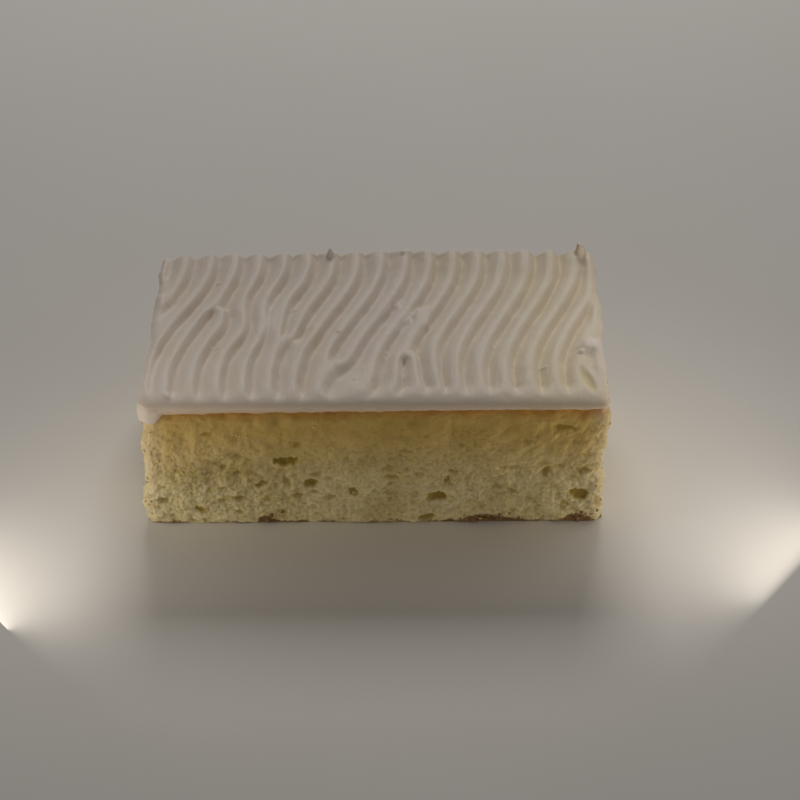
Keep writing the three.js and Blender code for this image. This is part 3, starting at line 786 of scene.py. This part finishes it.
def icing_relief(x, y):
    """What stands on or is pressed into the combed surface, in height."""
    rise = SWELL["height"] * lumps(x, y, SWELL["spacing"])
    near_back = smooth(HALF_D - BACK_BULGE["reach"], HALF_D, y)
    higher = BACK_BULGE["rise"] + BACK_BULGE["right"] * np.clip(x / BACK_BULGE["turn"], -1, 1)
    rise = rise + near_back * (higher + layered(x, 0, BACK_RIPPLE)) + layered(x, y, TOP_RIPPLES)
    for peak in PEAKS:
        back = HALF_D - y - peak["back"]
        back = np.where(back > 0, PEAK_FOOT["front"], 1.0) * back
        away = np.hypot(x - peak["x"], back) / peak["radius"]
        share = 1 - smooth(peak["blunt"], PEAK_FOOT["reach"], away)
        rise = rise + peak["height"] * share ** PEAK_FOOT["power"]
    for lump, share in lump_shares(x, y):
        rise = rise + lump["height"] * share
    for dent, share in dent_shares(x, y):
        rise = rise - dent["depth"] * share
    for hole_x, hole_y in PINHOLES:
        rise = rise - PINHOLE["depth"] * bell(x - hole_x, y - hole_y, PINHOLE["radius"])
    return rise


def lean(x):
    """How much higher than at the left end the sponge meets the icing."""
    low, high = LEAN["between"]
    return LEAN["rise"] * np.clip((x - low) / (high - low), 0, 1)


def fold_over(x, y, z):
    """Height of the top once the torn folds lie on it: steep at the right and front, gentle behind."""
    ragged_x, ragged_y = layered(x, y, FOLD_RAGGED[0]), layered(y, x, FOLD_RAGGED[1])
    for fold in FOLDS:
        slant = fold["slant"] * (y - fold["y"])
        u = (x - fold["x"] - slant + ragged_x) / (fold["wide"] / 2)
        v = (y - fold["y"] + ragged_y) / (fold["long"] / 2)
        share = 1.0
        for edges, at in ((FOLD_SIDES, u), (FOLD_ENDS, v)):
            share = share * smooth(*edges["rise"], at) * (1 - smooth(*edges["fall"], at))
        z = z + share * np.maximum(HEIGHT + fold["height"] - z, 0)
    return z


def rim_rings(px, py, top_z):
    """Rings of the icing's rim, from its top edge down the wall, round the lip and underneath.

    Each comes with its points' three coordinates and its share of the painted shade and stain.
    """
    out_x, out_y = way_out(px, py)
    run = np.cumsum(np.hypot(px - np.roll(px, 1), py - np.roll(py, 1)))
    drop = LIP_DROP + layered(run, 0, LIP_WAVES)
    bulge, off_sags = 0.0, 1.0
    for sag in SAGS:
        near = 1 - smooth(*SAG_EDGE, np.hypot(px - sag["x"], py - sag["y"]) / sag["reach"])
        drop = drop + sag["drop"] * near
        bulge = bulge + sag["bulge"] * near
        off_sags = off_sags * (1 - LIP_SHADE_AND_STAIN["less_on_sags"] * near)
    base_z = ICING_BASE + lean(px)
    lip_z = base_z - drop
    front = smooth(*FRONT_WALL, -HALF_D - py)
    belly_z = np.minimum(base_z + RIM_BELLY, top_z - RIM_LEAST)
    # Down the front wall and round under the lip the painted shade and stain grow; under the lip, where
    # the icing meets the sponge, all round, it takes the full lip colour.
    rings = []
    for t in (1 / 3, 2 / 3, 1):
        stain = (LIP_SHADE_AND_STAIN["top"] * (1 - t) + LIP_SHADE_AND_STAIN["wall"] * t) * front
        rings.append((-SAG_SWELL * bulge * t, top_z * (1 - t) + belly_z * t, 0.5, stain))
    for angle in np.linspace(0, math.pi / 2, 8)[1:]:
        swell = SAG_SWELL * (math.cos(angle) + math.sin(2 * angle))
        inset = RIM_UNDER * (1 - math.cos(angle)) - bulge * swell
        low = belly_z - (belly_z - lip_z) * math.sin(angle)
        stain = 1 - (1 - LIP_SHADE_AND_STAIN["wall"] * front) * (1 - math.sin(angle))
        rings.append((inset, low, math.cos(angle), stain))
    rings.append((RIM_HOLD, base_z - RIM_SINK, 0.0, np.ones_like(front)))
    for inset, z, rough, stain in rings:
        inward = inset - rough * layered(run, z, WALL_BUMPS)
        yield px - out_x * inward, py - out_y * inward, z, stain * off_sags


def icing_slab():
    """The closed slab: points, faces, shares of painted shade and stain, how many points the top has, and
    the top's border.
    """
    xs = edge_lines(WIDTH, SIDE_EDGE["reach"], SIDE_EDGE["reach"], ICING_CELL["across"])
    ys = edge_lines(DEPTH, FRONT_EDGE["reach"], BACK_EDGE["reach"], ICING_CELL["along"])
    x, y = (grid.ravel() for grid in np.meshgrid(xs, ys))
    px, py = icing_footprint(x, y)
    drop = edge_drop(x, y)
    top = np.column_stack([px, py, HEIGHT - drop])
    columns, rows = len(xs), len(ys)
    corner = np.arange(columns * rows).reshape(rows, columns)
    quads = [corner[:-1, :-1], corner[:-1, 1:], corner[1:, 1:], corner[1:, :-1]]
    faces = np.column_stack([part.ravel() for part in quads]).tolist()

    loop = rectangle_loop(columns, rows)
    points, ring, count = [top], loop, len(top)
    # The front of the top is painted darker and warmer as it rounds over towards the lip: painted shade.
    stains = [LIP_SHADE_AND_STAIN["top"] * smooth(LIP_SHADE_AND_STAIN["from"], FRONT_EDGE["fall"], drop) * (y < 0)]
    for *ring_points, stain in rim_rings(px[loop], py[loop], top[loop, 2]):
        below = np.arange(count, count + len(loop))
        points.append(np.column_stack(ring_points))
        stains.append(stain)
        faces += wall_faces(below, ring)
        count, ring = count + len(loop), below
    faces.append(ring[::-1].tolist())
    return np.vstack(points), faces, np.concatenate(stains), len(top), loop


def make_icing(look):
    """The icing: a closed slab with a fine top, cut by the comb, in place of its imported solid."""
    points, faces, stain, top_count, loop = icing_slab()
    on_top = slice(0, top_count)
    combed = np.zeros(len(points))
    combed[on_top] = combed_share(points[on_top, 0], points[on_top, 1])
    icing = mesh_object("icing_combed", points, faces, combed=combed, stain=stain)
    values = {
        "Pitch": look.comb_pitch / MM,
        "Sway": look.comb_sway / MM,
        "Depth": look.comb_depth / MM,
        "Crest": look.crest,
        "Material": lemon_buttercream(look),
    }
    grow(icing, comb_tree(), values)
    points = get_points(icing)
    relief = icing_relief(points[on_top, 0], points[on_top, 1])
    points[on_top, 2] = fold_over(points[on_top, 0], points[on_top, 1], points[on_top, 2]) + relief
    # The first rings of the wall follow the relief of the edge above them.
    for k, share in enumerate(RING_RISE):
        first = top_count + k * len(loop)
        points[first : first + len(loop), 2] += share * relief[loop]
    # Ridges were drawn out over the back edge a little further than grooves.
    thin = np.empty(len(points), np.float32)
    icing.data.attributes["groove"].data.foreach_get("value", thin)
    drawn = RIDGE_ENDS["out"] * (0.5 - thin / look.comb_depth * MM)
    drawn = drawn * smooth(HALF_D - RIDGE_ENDS["reach"], HALF_D, points[:, 1])
    points[on_top, 1] += drawn[on_top]
    for k, share in enumerate(RING_OUT):
        first = top_count + k * len(loop)
        points[first : first + len(loop), 1] += share * drawn[loop]
    set_points(icing, points)
    # The dents show thin icing, as the grooves do, and the lumps are the thickest.
    for dent, share in dent_shares(points[on_top, 0], points[on_top, 1]):
        thin[on_top] += dent["yellow"] * share
    for lump, share in lump_shares(points[on_top, 0], points[on_top, 1]):
        thin[on_top] -= LUMP_PALE * lump["height"] * share
    icing.data.attributes["groove"].data.foreach_set("value", thin)
    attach(icing, BODY)
    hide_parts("icing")


# ------------------------------------------------------------------ sponge
def pore_tree():
    """Crumb pores: cuts the sponge's sides through bubbles of several sizes.

    Each size is a field of cells with one bubble in each, its radius drawn at random. A side that
    passes through a bubble shows its far wall, so the pit is as deep as the sphere there.
    """
    inputs = {
        "Geometry": ("Geometry", None),
        "Largest": ("Float", 3.3),
        "Depth": ("Float", 0.46),
        "Flatness": ("Float", 2.1),
        "Irregular": ("Float", 0.45),
        "Rough": ("Float", 0.34),
        "Tear": ("Float", 0.35),
        "Flake": ("Float", 2.1),
        "Flake step": ("Float", 0.3),
        "Seed": ("Float", 4.0),
        "Material": ("Material", None),
    }
    tree, given, n = new_tree("Crumb pores", inputs, "Geometry")
    place = n("ShaderNodeVectorMath", n("GeometryNodeInputPosition"), 1 / MM, operation="SCALE")
    # The bubbles are wider than they are high.
    squeeze = n("ShaderNodeCombineXYZ", 1.0, 1.0, given["Flatness"])
    place = n("ShaderNodeVectorMath", place, squeeze, operation="MULTIPLY")
    out = n("GeometryNodeInputNamedAttribute", "outward", data_type="FLOAT_VECTOR")
    open_share = n("GeometryNodeInputNamedAttribute", "open", data_type="FLOAT")
    pit = n("GeometryNodeInputNamedAttribute", "pit", data_type="FLOAT")
    for share, widest in PORE_SIZES:
        spacing = n("ShaderNodeMath", given["Largest"], share, operation="MULTIPLY")
        scale = n("ShaderNodeMath", 1.0, spacing, operation="DIVIDE")
        # Coordinates bent by a noise a little finer than the bubbles make those irregular.
        finer = n("ShaderNodeMath", scale, 1.6, operation="MULTIPLY")
        bend = n("ShaderNodeTexNoise", place, finer, 2.0, output="Color")
        bend = n("ShaderNodeVectorMath", bend, (0.5, 0.5, 0.5), operation="SUBTRACT")
        reach = spacing
        for factor in (given["Irregular"], 2.0):
            reach = n("ShaderNodeMath", reach, factor, operation="MULTIPLY")
        bend = n("ShaderNodeVectorMath", bend, reach, operation="SCALE")
        bent = n("ShaderNodeVectorMath", place, bend, operation="ADD")
        seed = n("ShaderNodeMath", given["Seed"], share, operation="ADD")
        near, chance = (
            n("ShaderNodeTexVoronoi", bent, seed, scale, voronoi_dimensions="4D", output=output)
            for output in ("Distance", "Color")
        )
        chance = n("ShaderNodeSeparateXYZ", chance, output="X")
        radius = n("ShaderNodeMapRange", chance, 0.0, 1.0, 0.05, widest)
        # The far wall of a sphere: the root of its radius squared less the distance squared.
        radius, near = (n("ShaderNodeMath", a, a, operation="MULTIPLY") for a in (radius, near))
        deep = n("ShaderNodeMath", radius, near, operation="SUBTRACT")
        deep = n("ShaderNodeMath", deep, 0.0, operation="MAXIMUM")
        deep = n("ShaderNodeMath", deep, operation="SQRT")
        for factor in (spacing, given["Depth"], open_share):
            deep = n("ShaderNodeMath", deep, factor, operation="MULTIPLY")
        pit = n("ShaderNodeMath", deep, pit, operation="MAXIMUM")
    # Tears between the flakes: thin creases where a noise passes its middle.
    tear = n("ShaderNodeTexNoise", place, 0.3, 3.0)
    tear = n("ShaderNodeMath", tear, 0.5, operation="SUBTRACT")
    tear = n("ShaderNodeMath", tear, operation="ABSOLUTE")
    tear = n("ShaderNodeMapRange", tear, 0.0, 0.045, 1.0, 0.0, interpolation_type="SMOOTHSTEP")
    for factor in (given["Tear"], open_share):
        tear = n("ShaderNodeMath", tear, factor, operation="MULTIPLY")
    pit = n("ShaderNodeMath", tear, pit, operation="MAXIMUM")
    # Flakes: the knife lifted or sank each scrap of crumb a little against its neighbours.
    ragged = n("ShaderNodeTexNoise", place, 0.6, 3.0, output="Color")
    ragged = n("ShaderNodeVectorMath", ragged, (2.2, 2.2, 2.2), operation="MULTIPLY")
    ragged = n("ShaderNodeVectorMath", ragged, place, operation="ADD")
    scraps = n("ShaderNodeMath", 1.0, given["Flake"], operation="DIVIDE")
    flake = n("ShaderNodeTexVoronoi", ragged, None, scraps, output="Color")
    flake = n("ShaderNodeSeparateXYZ", flake, output="X")
    step = n("ShaderNodeMath", flake, 0.5, operation="SUBTRACT")
    step = n("ShaderNodeMath", step, given["Flake step"], operation="MULTIPLY")
    # And the flakes' own uneven faces.
    rough = n("ShaderNodeTexNoise", place, 0.7, 4.0, 0.62)
    rough = n("ShaderNodeMath", rough, 0.5, operation="SUBTRACT")
    rough = n("ShaderNodeMath", rough, given["Rough"], operation="MULTIPLY")
    rough = n("ShaderNodeMath", rough, 4.0, step, operation="MULTIPLY_ADD")
    rough = n("ShaderNodeMath", rough, open_share, operation="MULTIPLY")
    rise = n("ShaderNodeMath", rough, pit, operation="SUBTRACT")
    rise = n("ShaderNodeMath", rise, MM, operation="MULTIPLY")
    made = n("GeometryNodeStoreNamedAttribute", given["Geometry"], True, "pit", pit)
    made = n("GeometryNodeStoreNamedAttribute", made, True, "flake", flake)
    offset = n("ShaderNodeVectorMath", out, rise, operation="SCALE")
    made = n("GeometryNodeSetPosition", made, True, None, offset)
    made = n("GeometryNodeRealizeInstances", made)
    n("NodeGroupOutput", n("GeometryNodeSetMaterial", made, True, given["Material"]))
    return tree


def sponge_holes():
    """The larger holes, by their distance round the cuts: the front's, and others by a rule."""
    holes = [(x + HALF_W, z, w, h, d) for x, z, w, h, d in FRONT_HOLES]
    state = OTHER_HOLES["seed"]
    draws = []
    while len(draws) < 3 * OTHER_HOLES["count"]:
        state = (state * 16807) % 2147483647
        draws.append(state / 2147483647)
    around = 2 * (WIDTH + DEPTH)
    small, large = OTHER_HOLES["smallest"], OTHER_HOLES["largest"]
    low, high = HOLES_BETWEEN
    for first, second, third in zip(draws[0::3], draws[1::3], draws[2::3]):
        w = small + (large - small) * third**2
        s = WIDTH + (around - WIDTH) * first
        z = low + (high - low) * second**1.25
        holes.append((s, z, w, w * OTHER_HOLES["flatness"], w * OTHER_HOLES["depth"]))
    return holes


def hole_depth(run, z):
    """Depth of the large holes: the far wall of each one that the knife cut open."""
    bent_run = run + layered(run, z, HOLE_RAGGED[0])
    bent_z = z + layered(z, run, HOLE_RAGGED[1])
    deepest = np.zeros(len(run))
    for s, height, w, h, d in sponge_holes():
        across = (bent_run - s) / (HOLE_SHAPE["across"] * w)
        up = (bent_z - height) / (HOLE_SHAPE["up"] * h)
        deepest = np.maximum(deepest, d * (1 - np.hypot(across, up) ** HOLE_SHAPE["wall"]))
    return deepest


def crust_share(x, y):
    """How much of the browned base was left on at a place round the foot of the cake."""
    patches = smooth(*CRUST["share"], lumps(x, y, CRUST["spacing"]))
    torn = patches * (y > CRUST["behind"] - HALF_D)
    for spot in CRUST_SPOTS:
        torn = torn + bell(x - spot["x"], y + HALF_D, spot["reach"], CRUST["inward"])
    return np.minimum(torn, 1)


def make_sponge(look):
    """The sponge: cut sides with every pore down to a third of a millimetre."""
    front = np.linspace(-HALF_W, HALF_W, round(WIDTH / FRONT_CELL) + 1)
    back = np.linspace(HALF_W, -HALF_W, round(WIDTH / OTHER_CELL) + 1)
    side = np.linspace(-HALF_D, HALF_D, round(DEPTH / OTHER_CELL) + 1)
    ends, sides = (np.full(len(line) - 1, 1.0) for line in (side, front))
    backs = np.full(len(back) - 1, HALF_D)
    x = np.concatenate([front[:-1], HALF_W * ends, back[:-1], -HALF_W * ends])
    y = np.concatenate([-HALF_D * sides, side[:-1], backs, side[:0:-1]])
    run = np.concatenate([[0.0], np.cumsum(np.hypot(np.diff(x), np.diff(y)))])
    px, py = rounded(x, y)
    out_x, out_y = way_out(px, py)
    levels = np.linspace(0, SPONGE_TOP, round(SPONGE_TOP / LEVEL_CELL) + 1)
    around = len(x)
    z = np.repeat(levels, around)
    top_z = z + lean(np.tile(px, len(levels))) * smooth(SPONGE_TOP - 8, SPONGE_TOP, z)
    run_all, out_all_x, out_all_y = (np.tile(values, len(levels)) for values in (run, out_x, out_y))
    inner = smooth(0, 0.5, z) * (1 - smooth(SPONGE_TOP - 0.6, SPONGE_TOP, z))
    crags = sum(
        crag["height"] * lumps(run_all + crag["shift"], z * crag["flatness"], crag["spacing"])
        for crag in CRAGS
    )
    holes = hole_depth(run_all, z) * inner
    heights, *measures = zip(*SPONGE_SIDES)
    inward, left, right = (np.interp(z, heights, measure) for measure in measures)
    all_x, all_y = np.tile(px, len(levels)), np.tile(py, len(levels))
    ends = np.where(all_x < 0, left, right) / HALF_W
    points = np.column_stack([all_x * ends, all_y, top_z])
    points[:, 0] -= out_all_x * inner * crags
    points[:, 1] -= out_all_y * (inward + inner * crags)
    faces = []
    for k in range(len(levels) - 1):
        ring = np.arange(k * around, (k + 1) * around)
        faces += wall_faces(ring, ring + around)
    faces.append(list(range(around))[::-1])
    faces.append(list(range((len(levels) - 1) * around, len(levels) * around)))
    outward = np.column_stack([out_all_x, out_all_y, 0 * z])
    patches = lumps(run_all, OPEN_PATCHES["flatness"] * z, OPEN_PATCHES["spacing"])
    loose = OPEN["least"] + OPEN["more"] * (1 - smooth(*OPEN["between"], z))
    loose = loose + OPEN_PATCHES["height"] * patches
    # The crust is pitted where it broke.
    crusty = crust_share(all_x, all_y)
    broken = crusty * inner * (1 - smooth(*CRUST["height"], z))
    holes = holes + broken * (0.8 + 0.6 * lumps(run_all, 2 * z, 1.3))
    layers = {"outward": outward, "open": inner * loose, "pit": holes, "crusty": crusty}
    sponge = mesh_object("sponge_crumb", points, faces, **layers)
    values = {
        "Largest": look.pore_size / MM,
        "Depth": look.pore_depth,
        "Seed": float(look.seed),
        "Material": sponge_crumb(look),
    }
    grow(sponge, pore_tree(), values)
    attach(sponge, BODY)
    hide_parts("sponge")


# ------------------------------------------------------------------ crumbs
def crumb_tree():
    """Loose crumbs: scatters lumps over a surface where its crumb attribute lets them lie."""
    inputs = {
        "Geometry": ("Geometry", None),
        "Density": ("Float", 8e5),
        "Smallest": ("Float", 0.25),
        "Largest": ("Float", 0.9),
        "Seed": ("Int", 5),
        "Material": ("Material", None),
    }
    tree, given, n = new_tree("Loose crumbs", inputs, "Geometry")
    share = n("GeometryNodeInputNamedAttribute", "crumbly", data_type="FLOAT")
    density = n("ShaderNodeMath", share, given["Density"], operation="MULTIPLY")
    points = n("GeometryNodeDistributePointsOnFaces", given["Geometry"], True, density, given["Seed"])
    index = n("GeometryNodeInputIndex")
    turn = n("FunctionNodeRandomValue", (0, 0, 0), (6.28, 6.28, 6.28), index, 1, data_type="FLOAT_VECTOR")
    flattest = (0.65, 0.65, 0.65)
    stretch = n("FunctionNodeRandomValue", flattest, (1, 1, 1), index, 2, data_type="FLOAT_VECTOR")
    size = n("FunctionNodeRandomValue", 0.0, 1.0, index, 3)
    size = n("ShaderNodeMath", size, 2.2, operation="POWER")
    size = n("ShaderNodeMapRange", size, 0.0, 1.0, given["Smallest"], given["Largest"])
    size = n("ShaderNodeMath", size, MM, operation="MULTIPLY")
    stretch = n("ShaderNodeVectorMath", stretch, size, operation="SCALE")
    lump = n("GeometryNodeMeshIcoSphere", 0.5, 2)
    made = n("GeometryNodeInstanceOnPoints", points, True, lump, False, 0, turn, stretch)
    made = n("GeometryNodeRealizeInstances", made)
    # Every crumb is torn differently, because the noise is read where it lies.
    place = n("GeometryNodeInputPosition")
    torn = n("ShaderNodeTexNoise", place, 1 / (0.55 * MM), 2.0, output="Color")
    torn = n("ShaderNodeVectorMath", torn, (0.5, 0.5, 0.5), operation="SUBTRACT")
    torn = n("ShaderNodeVectorMath", torn, 0.45 * MM, operation="SCALE")
    torn = n("ShaderNodeVectorMath", place, torn, operation="ADD")
    # None of them reaches below the base.
    torn = n("ShaderNodeVectorMath", torn, (-1.0, -1.0, 0.0), operation="MAXIMUM")
    made = n("GeometryNodeSetPosition", made, True, torn)
    n("NodeGroupOutput", n("GeometryNodeSetMaterial", made, True, given["Material"]))
    return tree


def make_crumbs(look):
    """Crumbs that cling to the cut sides, and brown ones from the base's crust."""
    sponge = bpy.data.objects["sponge_crumb"]
    points = get_points(sponge)
    x, y, z = points.T
    under_top = z < SPONGE_TOP - CRUMBS["under_top"]
    at_ends = smooth(0, CRUMBS["end_fade"], np.abs(x) - HALF_W + CRUMBS["end_reach"])
    at_ends = at_ends * np.where(x > 0, CRUMBS["right"], 1.0)
    patches = 0.2 + 0.8 * smooth(0.1, 0.6, lumps(x + 5 * y, z, CRUMBS["patch"]))
    yellow = (patches + at_ends) * under_top * (z > 0.5)
    brown = (z > 0.2) * (z < 3.2) * crust_share(x, y) * (1 - 0.7 * smooth(0.8, 3.2, z))
    dry = loose_crumb("Dry_sponge_crumbs", look.upper_colour, look.crumb_colour)
    baked = loose_crumb("Baked_crust_crumbs", look.crust_colour, look.toast_colour)
    # The name, where they lie, how many to a square metre, and the largest in millimetres.
    kinds = (
        ("crumbs_sponge", yellow, 1.1e5, 1.0, dry),
        ("crumbs_crust", brown, 9.5e5, 1.35, baked),
    )
    for name, share, density, largest, material in kinds:
        host = bpy.data.objects.new(name, sponge.data.copy())
        bpy.context.scene.collection.objects.link(host)
        layer = host.data.attributes.new("crumbly", "FLOAT", "POINT")
        layer.data.foreach_set("value", share.astype(np.float32))
        values = {
            "Density": density * look.crumb_share,
            "Largest": largest,
            "Seed": look.seed,
            "Material": material,
        }
        grow(host, crumb_tree(), values)
        host.data.polygons.foreach_set("use_smooth", np.ones(len(host.data.polygons), bool))
        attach(host, BODY)


# ------------------------------------------------------------------ stage
def painted_floor():
    """Matt studio floor paint: pale, rolled on, so nearly even in colour and sheen."""
    material, n, links, shader = start_material("Matt_floor_paint", {"Roughness": 0.75})
    place = n("ShaderNodeTexCoord", output="Object")
    rolled = n("ShaderNodeTexNoise", place, 1 / (60 * MM), 2.0)
    colour = n("ShaderNodeMix", rolled, linear("#eceae6"), linear("#f1efec"), data_type="RGBA")
    links.new(colour, shader["Base Color"])
    return material


def add_area_light(name, place, target, size, power, colour):
    """A rectangular lamp that faces its target; lengths are in metres."""
    data = bpy.data.lights.new(name, "AREA")
    data.shape, data.energy = "RECTANGLE", power
    data.size, data.size_y = size
    data.color = linear(colour)[:3]
    lamp = bpy.data.objects.new(name, data)
    lamp.location = place
    lamp.rotation_euler = (target - Vector(place)).to_track_quat("-Z", "Y").to_euler()
    lamp.visible_camera = False
    bpy.context.scene.collection.objects.link(lamp)


def make_stage(light):
    """Pale floor, soft light from behind, a fill from the front, lamps at the ends, the camera."""
    scene = bpy.context.scene
    reach = 3.0  # metres each way
    corners = [(-reach, -reach, 0), (reach, -reach, 0), (reach, reach, 0), (-reach, reach, 0)]
    mesh = bpy.data.meshes.new("floor")
    mesh.from_pydata(corners, [], [(0, 1, 2, 3)])
    mesh.materials.append(painted_floor())
    floor = bpy.data.objects.new("floor", mesh)
    scene.collection.objects.link(floor)
    floor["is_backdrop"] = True

    # The window behind gives the shape; small lamps beside and over the ends brighten those.
    middle = Vector((0, 0, 0.02))
    left_end, right_end = Vector((-0.047, -0.02, 0.02)), Vector((0.048, -0.012, 0.022))
    add_area_light("window", (0.04, 0.95, 0.76), middle, (0.5, 0.4), light.key_power, "#fff9f2")
    add_area_light("fill", (0.1, -1.0, 0.14), middle, (1.2, 0.25), light.fill_power, "#fff0dc")
    for name, place, target, share in (
        ("beside_left", (-0.088, -0.052, 0.016), left_end, 1.3),
        ("beside_right", (0.092, -0.045, 0.02), right_end, 1.2),
        ("over_left", (-0.07, -0.045, 0.085), left_end, 1.0),
        ("over_right", (0.075, -0.005, 0.08), right_end, 1.2),
    ):
        add_area_light(name, place, target, (0.035, 0.035), share * light.end_power, "#fff6e8")
    world = bpy.data.worlds.new("studio")
    world.use_nodes = True
    backdrop = next(node for node in world.node_tree.nodes if node.type == "BACKGROUND")
    backdrop.inputs["Color"].default_value = linear("#eef0f2")
    backdrop.inputs["Strength"].default_value = light.sky_strength
    scene.world = world
    scene.view_settings.view_transform = "Standard"

    # The camera stands where the photograph was taken from.
    turn, tilt, roll = (math.radians(angle) for angle in CAMERA["angles"])
    back = Vector((math.sin(turn) * math.cos(tilt), -math.cos(turn) * math.cos(tilt), math.sin(tilt)))
    data = bpy.data.cameras.new("camera")
    data.sensor_width, data.lens, data.clip_start = 36.0, CAMERA["lens"], 0.01
    camera = bpy.data.objects.new("camera", data)
    facing = back.to_track_quat("Z", "Y").to_matrix().to_4x4()
    place = (Vector(CAMERA["target"]) + back * CAMERA["distance"]) * MM
    camera.matrix_world = Matrix.Translation(place) @ facing @ Matrix.Rotation(roll, 4, "Z")
    scene.collection.objects.link(camera)
    scene.camera = camera


# ------------------------------------------------------------------ add-on
def size_property(name, description, default):
    """A length that a user may change; its default is given in millimetres."""
    return bpy.props.FloatProperty(
        name=name, description=description, default=default * MM, unit="LENGTH", subtype="DISTANCE"
    )


def amount(name, description, default, **more):
    """A plain number, a share or a power that a user may change."""
    return bpy.props.FloatProperty(name=name, description=description, default=default, **more)


def colour_code(name, description, default):
    """An sRGB hex colour."""
    return bpy.props.StringProperty(name=name, description=description, default=default, maxlen=7)


class IcingLook(bpy.types.PropertyGroup):
    """What a user may change about the icing."""

    comb_pitch: size_property("Comb pitch", "From one tooth of the comb to the next", 5.57)
    comb_sway: size_property("Comb sway", "How far each stroke swings sideways", 12.5)
    comb_depth: size_property("Comb depth", "Depth of the grooves below the ridges", 1.9)
    crest: amount("Crest", "Where a ridge is highest, as a share of the pitch", 0.66)
    icing_colour: colour_code("Icing", "Colour of the thick icing", "#efe4dc")
    # The lip colour is partly the stain of the baked top, partly painted shade and bounce light.
    lip_shade_and_stain_colour: colour_code("Lip", "Colour of the icing's lower edge", "#e2c3a0")
    # The colour of thin icing, kept a little darker as painted shade for the grooves.
    thin_and_shaded_colour: colour_code("Thin icing", "Colour of the icing in the grooves", "#e8dbb2")


class SpongeLook(bpy.types.PropertyGroup):
    """What a user may change about the sponge and its crumbs."""

    pore_size: size_property("Pore spacing", "Spacing of the largest bubbles of the crumb", 3.3)
    pore_depth: amount("Pore depth", "Depth of a pore as a share of its radius", 0.46)
    crumb_share: amount("Loose crumbs", "How many crumbs cling to the cuts", 1.0, min=0.0)
    seed: bpy.props.IntProperty(name="Seed", description="Another crumb of the same kind", default=4)
    crumb_colour: colour_code("Crumb", "Colour of the lower sponge", "#ecdfa6")
    # A deeper gold than the lower crumb, and darker as painted shade.
    upper_colour: colour_code("Upper crumb", "Colour of the upper sponge", "#d5b76c")
    # Also the colour of the painted glow at both ends of the sponge.
    wall_and_end_glow_colour: colour_code("Crumb walls", "Colour of the thin walls between the pores", "#f4e4c2")
    # Used for the golden patches and for the painted shade deep in the pores.
    patch_and_pore_shade_colour: colour_code("Pores", "Colour deep in the pores", "#ac9440")
    toast_colour: colour_code("Toasted crumb", "Colour of the palest crumbs of the crust", "#a58262")
    baked_colour: colour_code("Baked top", "Colour of the baked band under the icing", "#bf8a42")
    crust_colour: colour_code("Base crust", "Colour of the browned base", "#7d5a33")


class StudioLook(bpy.types.PropertyGroup):
    """What a user may change about the light."""

    key_power: amount("Window light", "Power of the light from behind", 5.2, unit="POWER")
    end_power: amount("End lamps", "Power of one lamp at an end", 0.0061, unit="POWER")
    fill_power: amount("Fill light", "Power of the light from the front", 1.18, unit="POWER")
    sky_strength: amount("Room light", "Brightness of the room around", 0.06)


class CAKE_OT_stage(bpy.types.Operator):
    """Set the floor, the lights and the camera"""

    bl_idname = "cake.stage"
    bl_label = "Set the stage"

    def execute(self, context):
        make_stage(context.scene.cake_studio)
        return {"FINISHED"}


class CAKE_OT_icing(bpy.types.Operator):
    """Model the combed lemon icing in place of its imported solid"""

    bl_idname = "cake.icing"
    bl_label = "Comb the icing"

    def execute(self, context):
        make_icing(context.scene.cake_icing)
        return {"FINISHED"}


class CAKE_OT_sponge(bpy.types.Operator):
    """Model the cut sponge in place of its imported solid"""

    bl_idname = "cake.sponge"
    bl_label = "Cut the sponge"

    def execute(self, context):
        make_sponge(context.scene.cake_sponge)
        return {"FINISHED"}


class CAKE_OT_crumbs(bpy.types.Operator):
    """Scatter crumbs over the cut sides of the sponge"""

    bl_idname = "cake.crumbs"
    bl_label = "Scatter the crumbs"

    def execute(self, context):
        make_crumbs(context.scene.cake_sponge)
        return {"FINISHED"}


class CAKE_PT_panel(bpy.types.Panel):
    """Lists the sizes, the colours and the steps of the cake"""

    bl_idname = "CAKE_PT_panel"
    bl_label = "Lemon cake slice"
    bl_space_type = "VIEW_3D"
    bl_region_type = "UI"
    bl_category = "Cake"

    def draw(self, context):
        column = self.layout.column()
        for name, (look, steps) in GROUPS.items():
            for label in look.__annotations__:
                column.prop(getattr(context.scene, name), label)
            for step in steps:
                column.operator(step.bl_idname)


GROUPS = {
    "cake_studio": (StudioLook, (CAKE_OT_stage,)),
    "cake_icing": (IcingLook, (CAKE_OT_icing,)),
    "cake_sponge": (SpongeLook, (CAKE_OT_sponge, CAKE_OT_crumbs)),
}


def register():
    for name, (look, steps) in GROUPS.items():
        for made in (look, *steps):
            bpy.utils.register_class(made)
        setattr(bpy.types.Scene, name, bpy.props.PointerProperty(type=look))
    bpy.utils.register_class(CAKE_PT_panel)


def unregister():
    bpy.utils.unregister_class(CAKE_PT_panel)
    for name, (look, steps) in GROUPS.items():
        delattr(bpy.types.Scene, name)
        for made in (*steps, look):
            bpy.utils.unregister_class(made)


def main():
    """Builds the cake on its stage and works out the boxes of the imported solids and of what was built.
    """
    register()
    for step in (bpy.ops.cake.stage, bpy.ops.cake.icing, bpy.ops.cake.sponge, bpy.ops.cake.crumbs):
        step()
    boxes = {"cad": CAD_BOX, "visual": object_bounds()}
    {name: [list(corner) for corner in box] for name, box in boxes.items()}


if __name__ == "__main__":
    main()
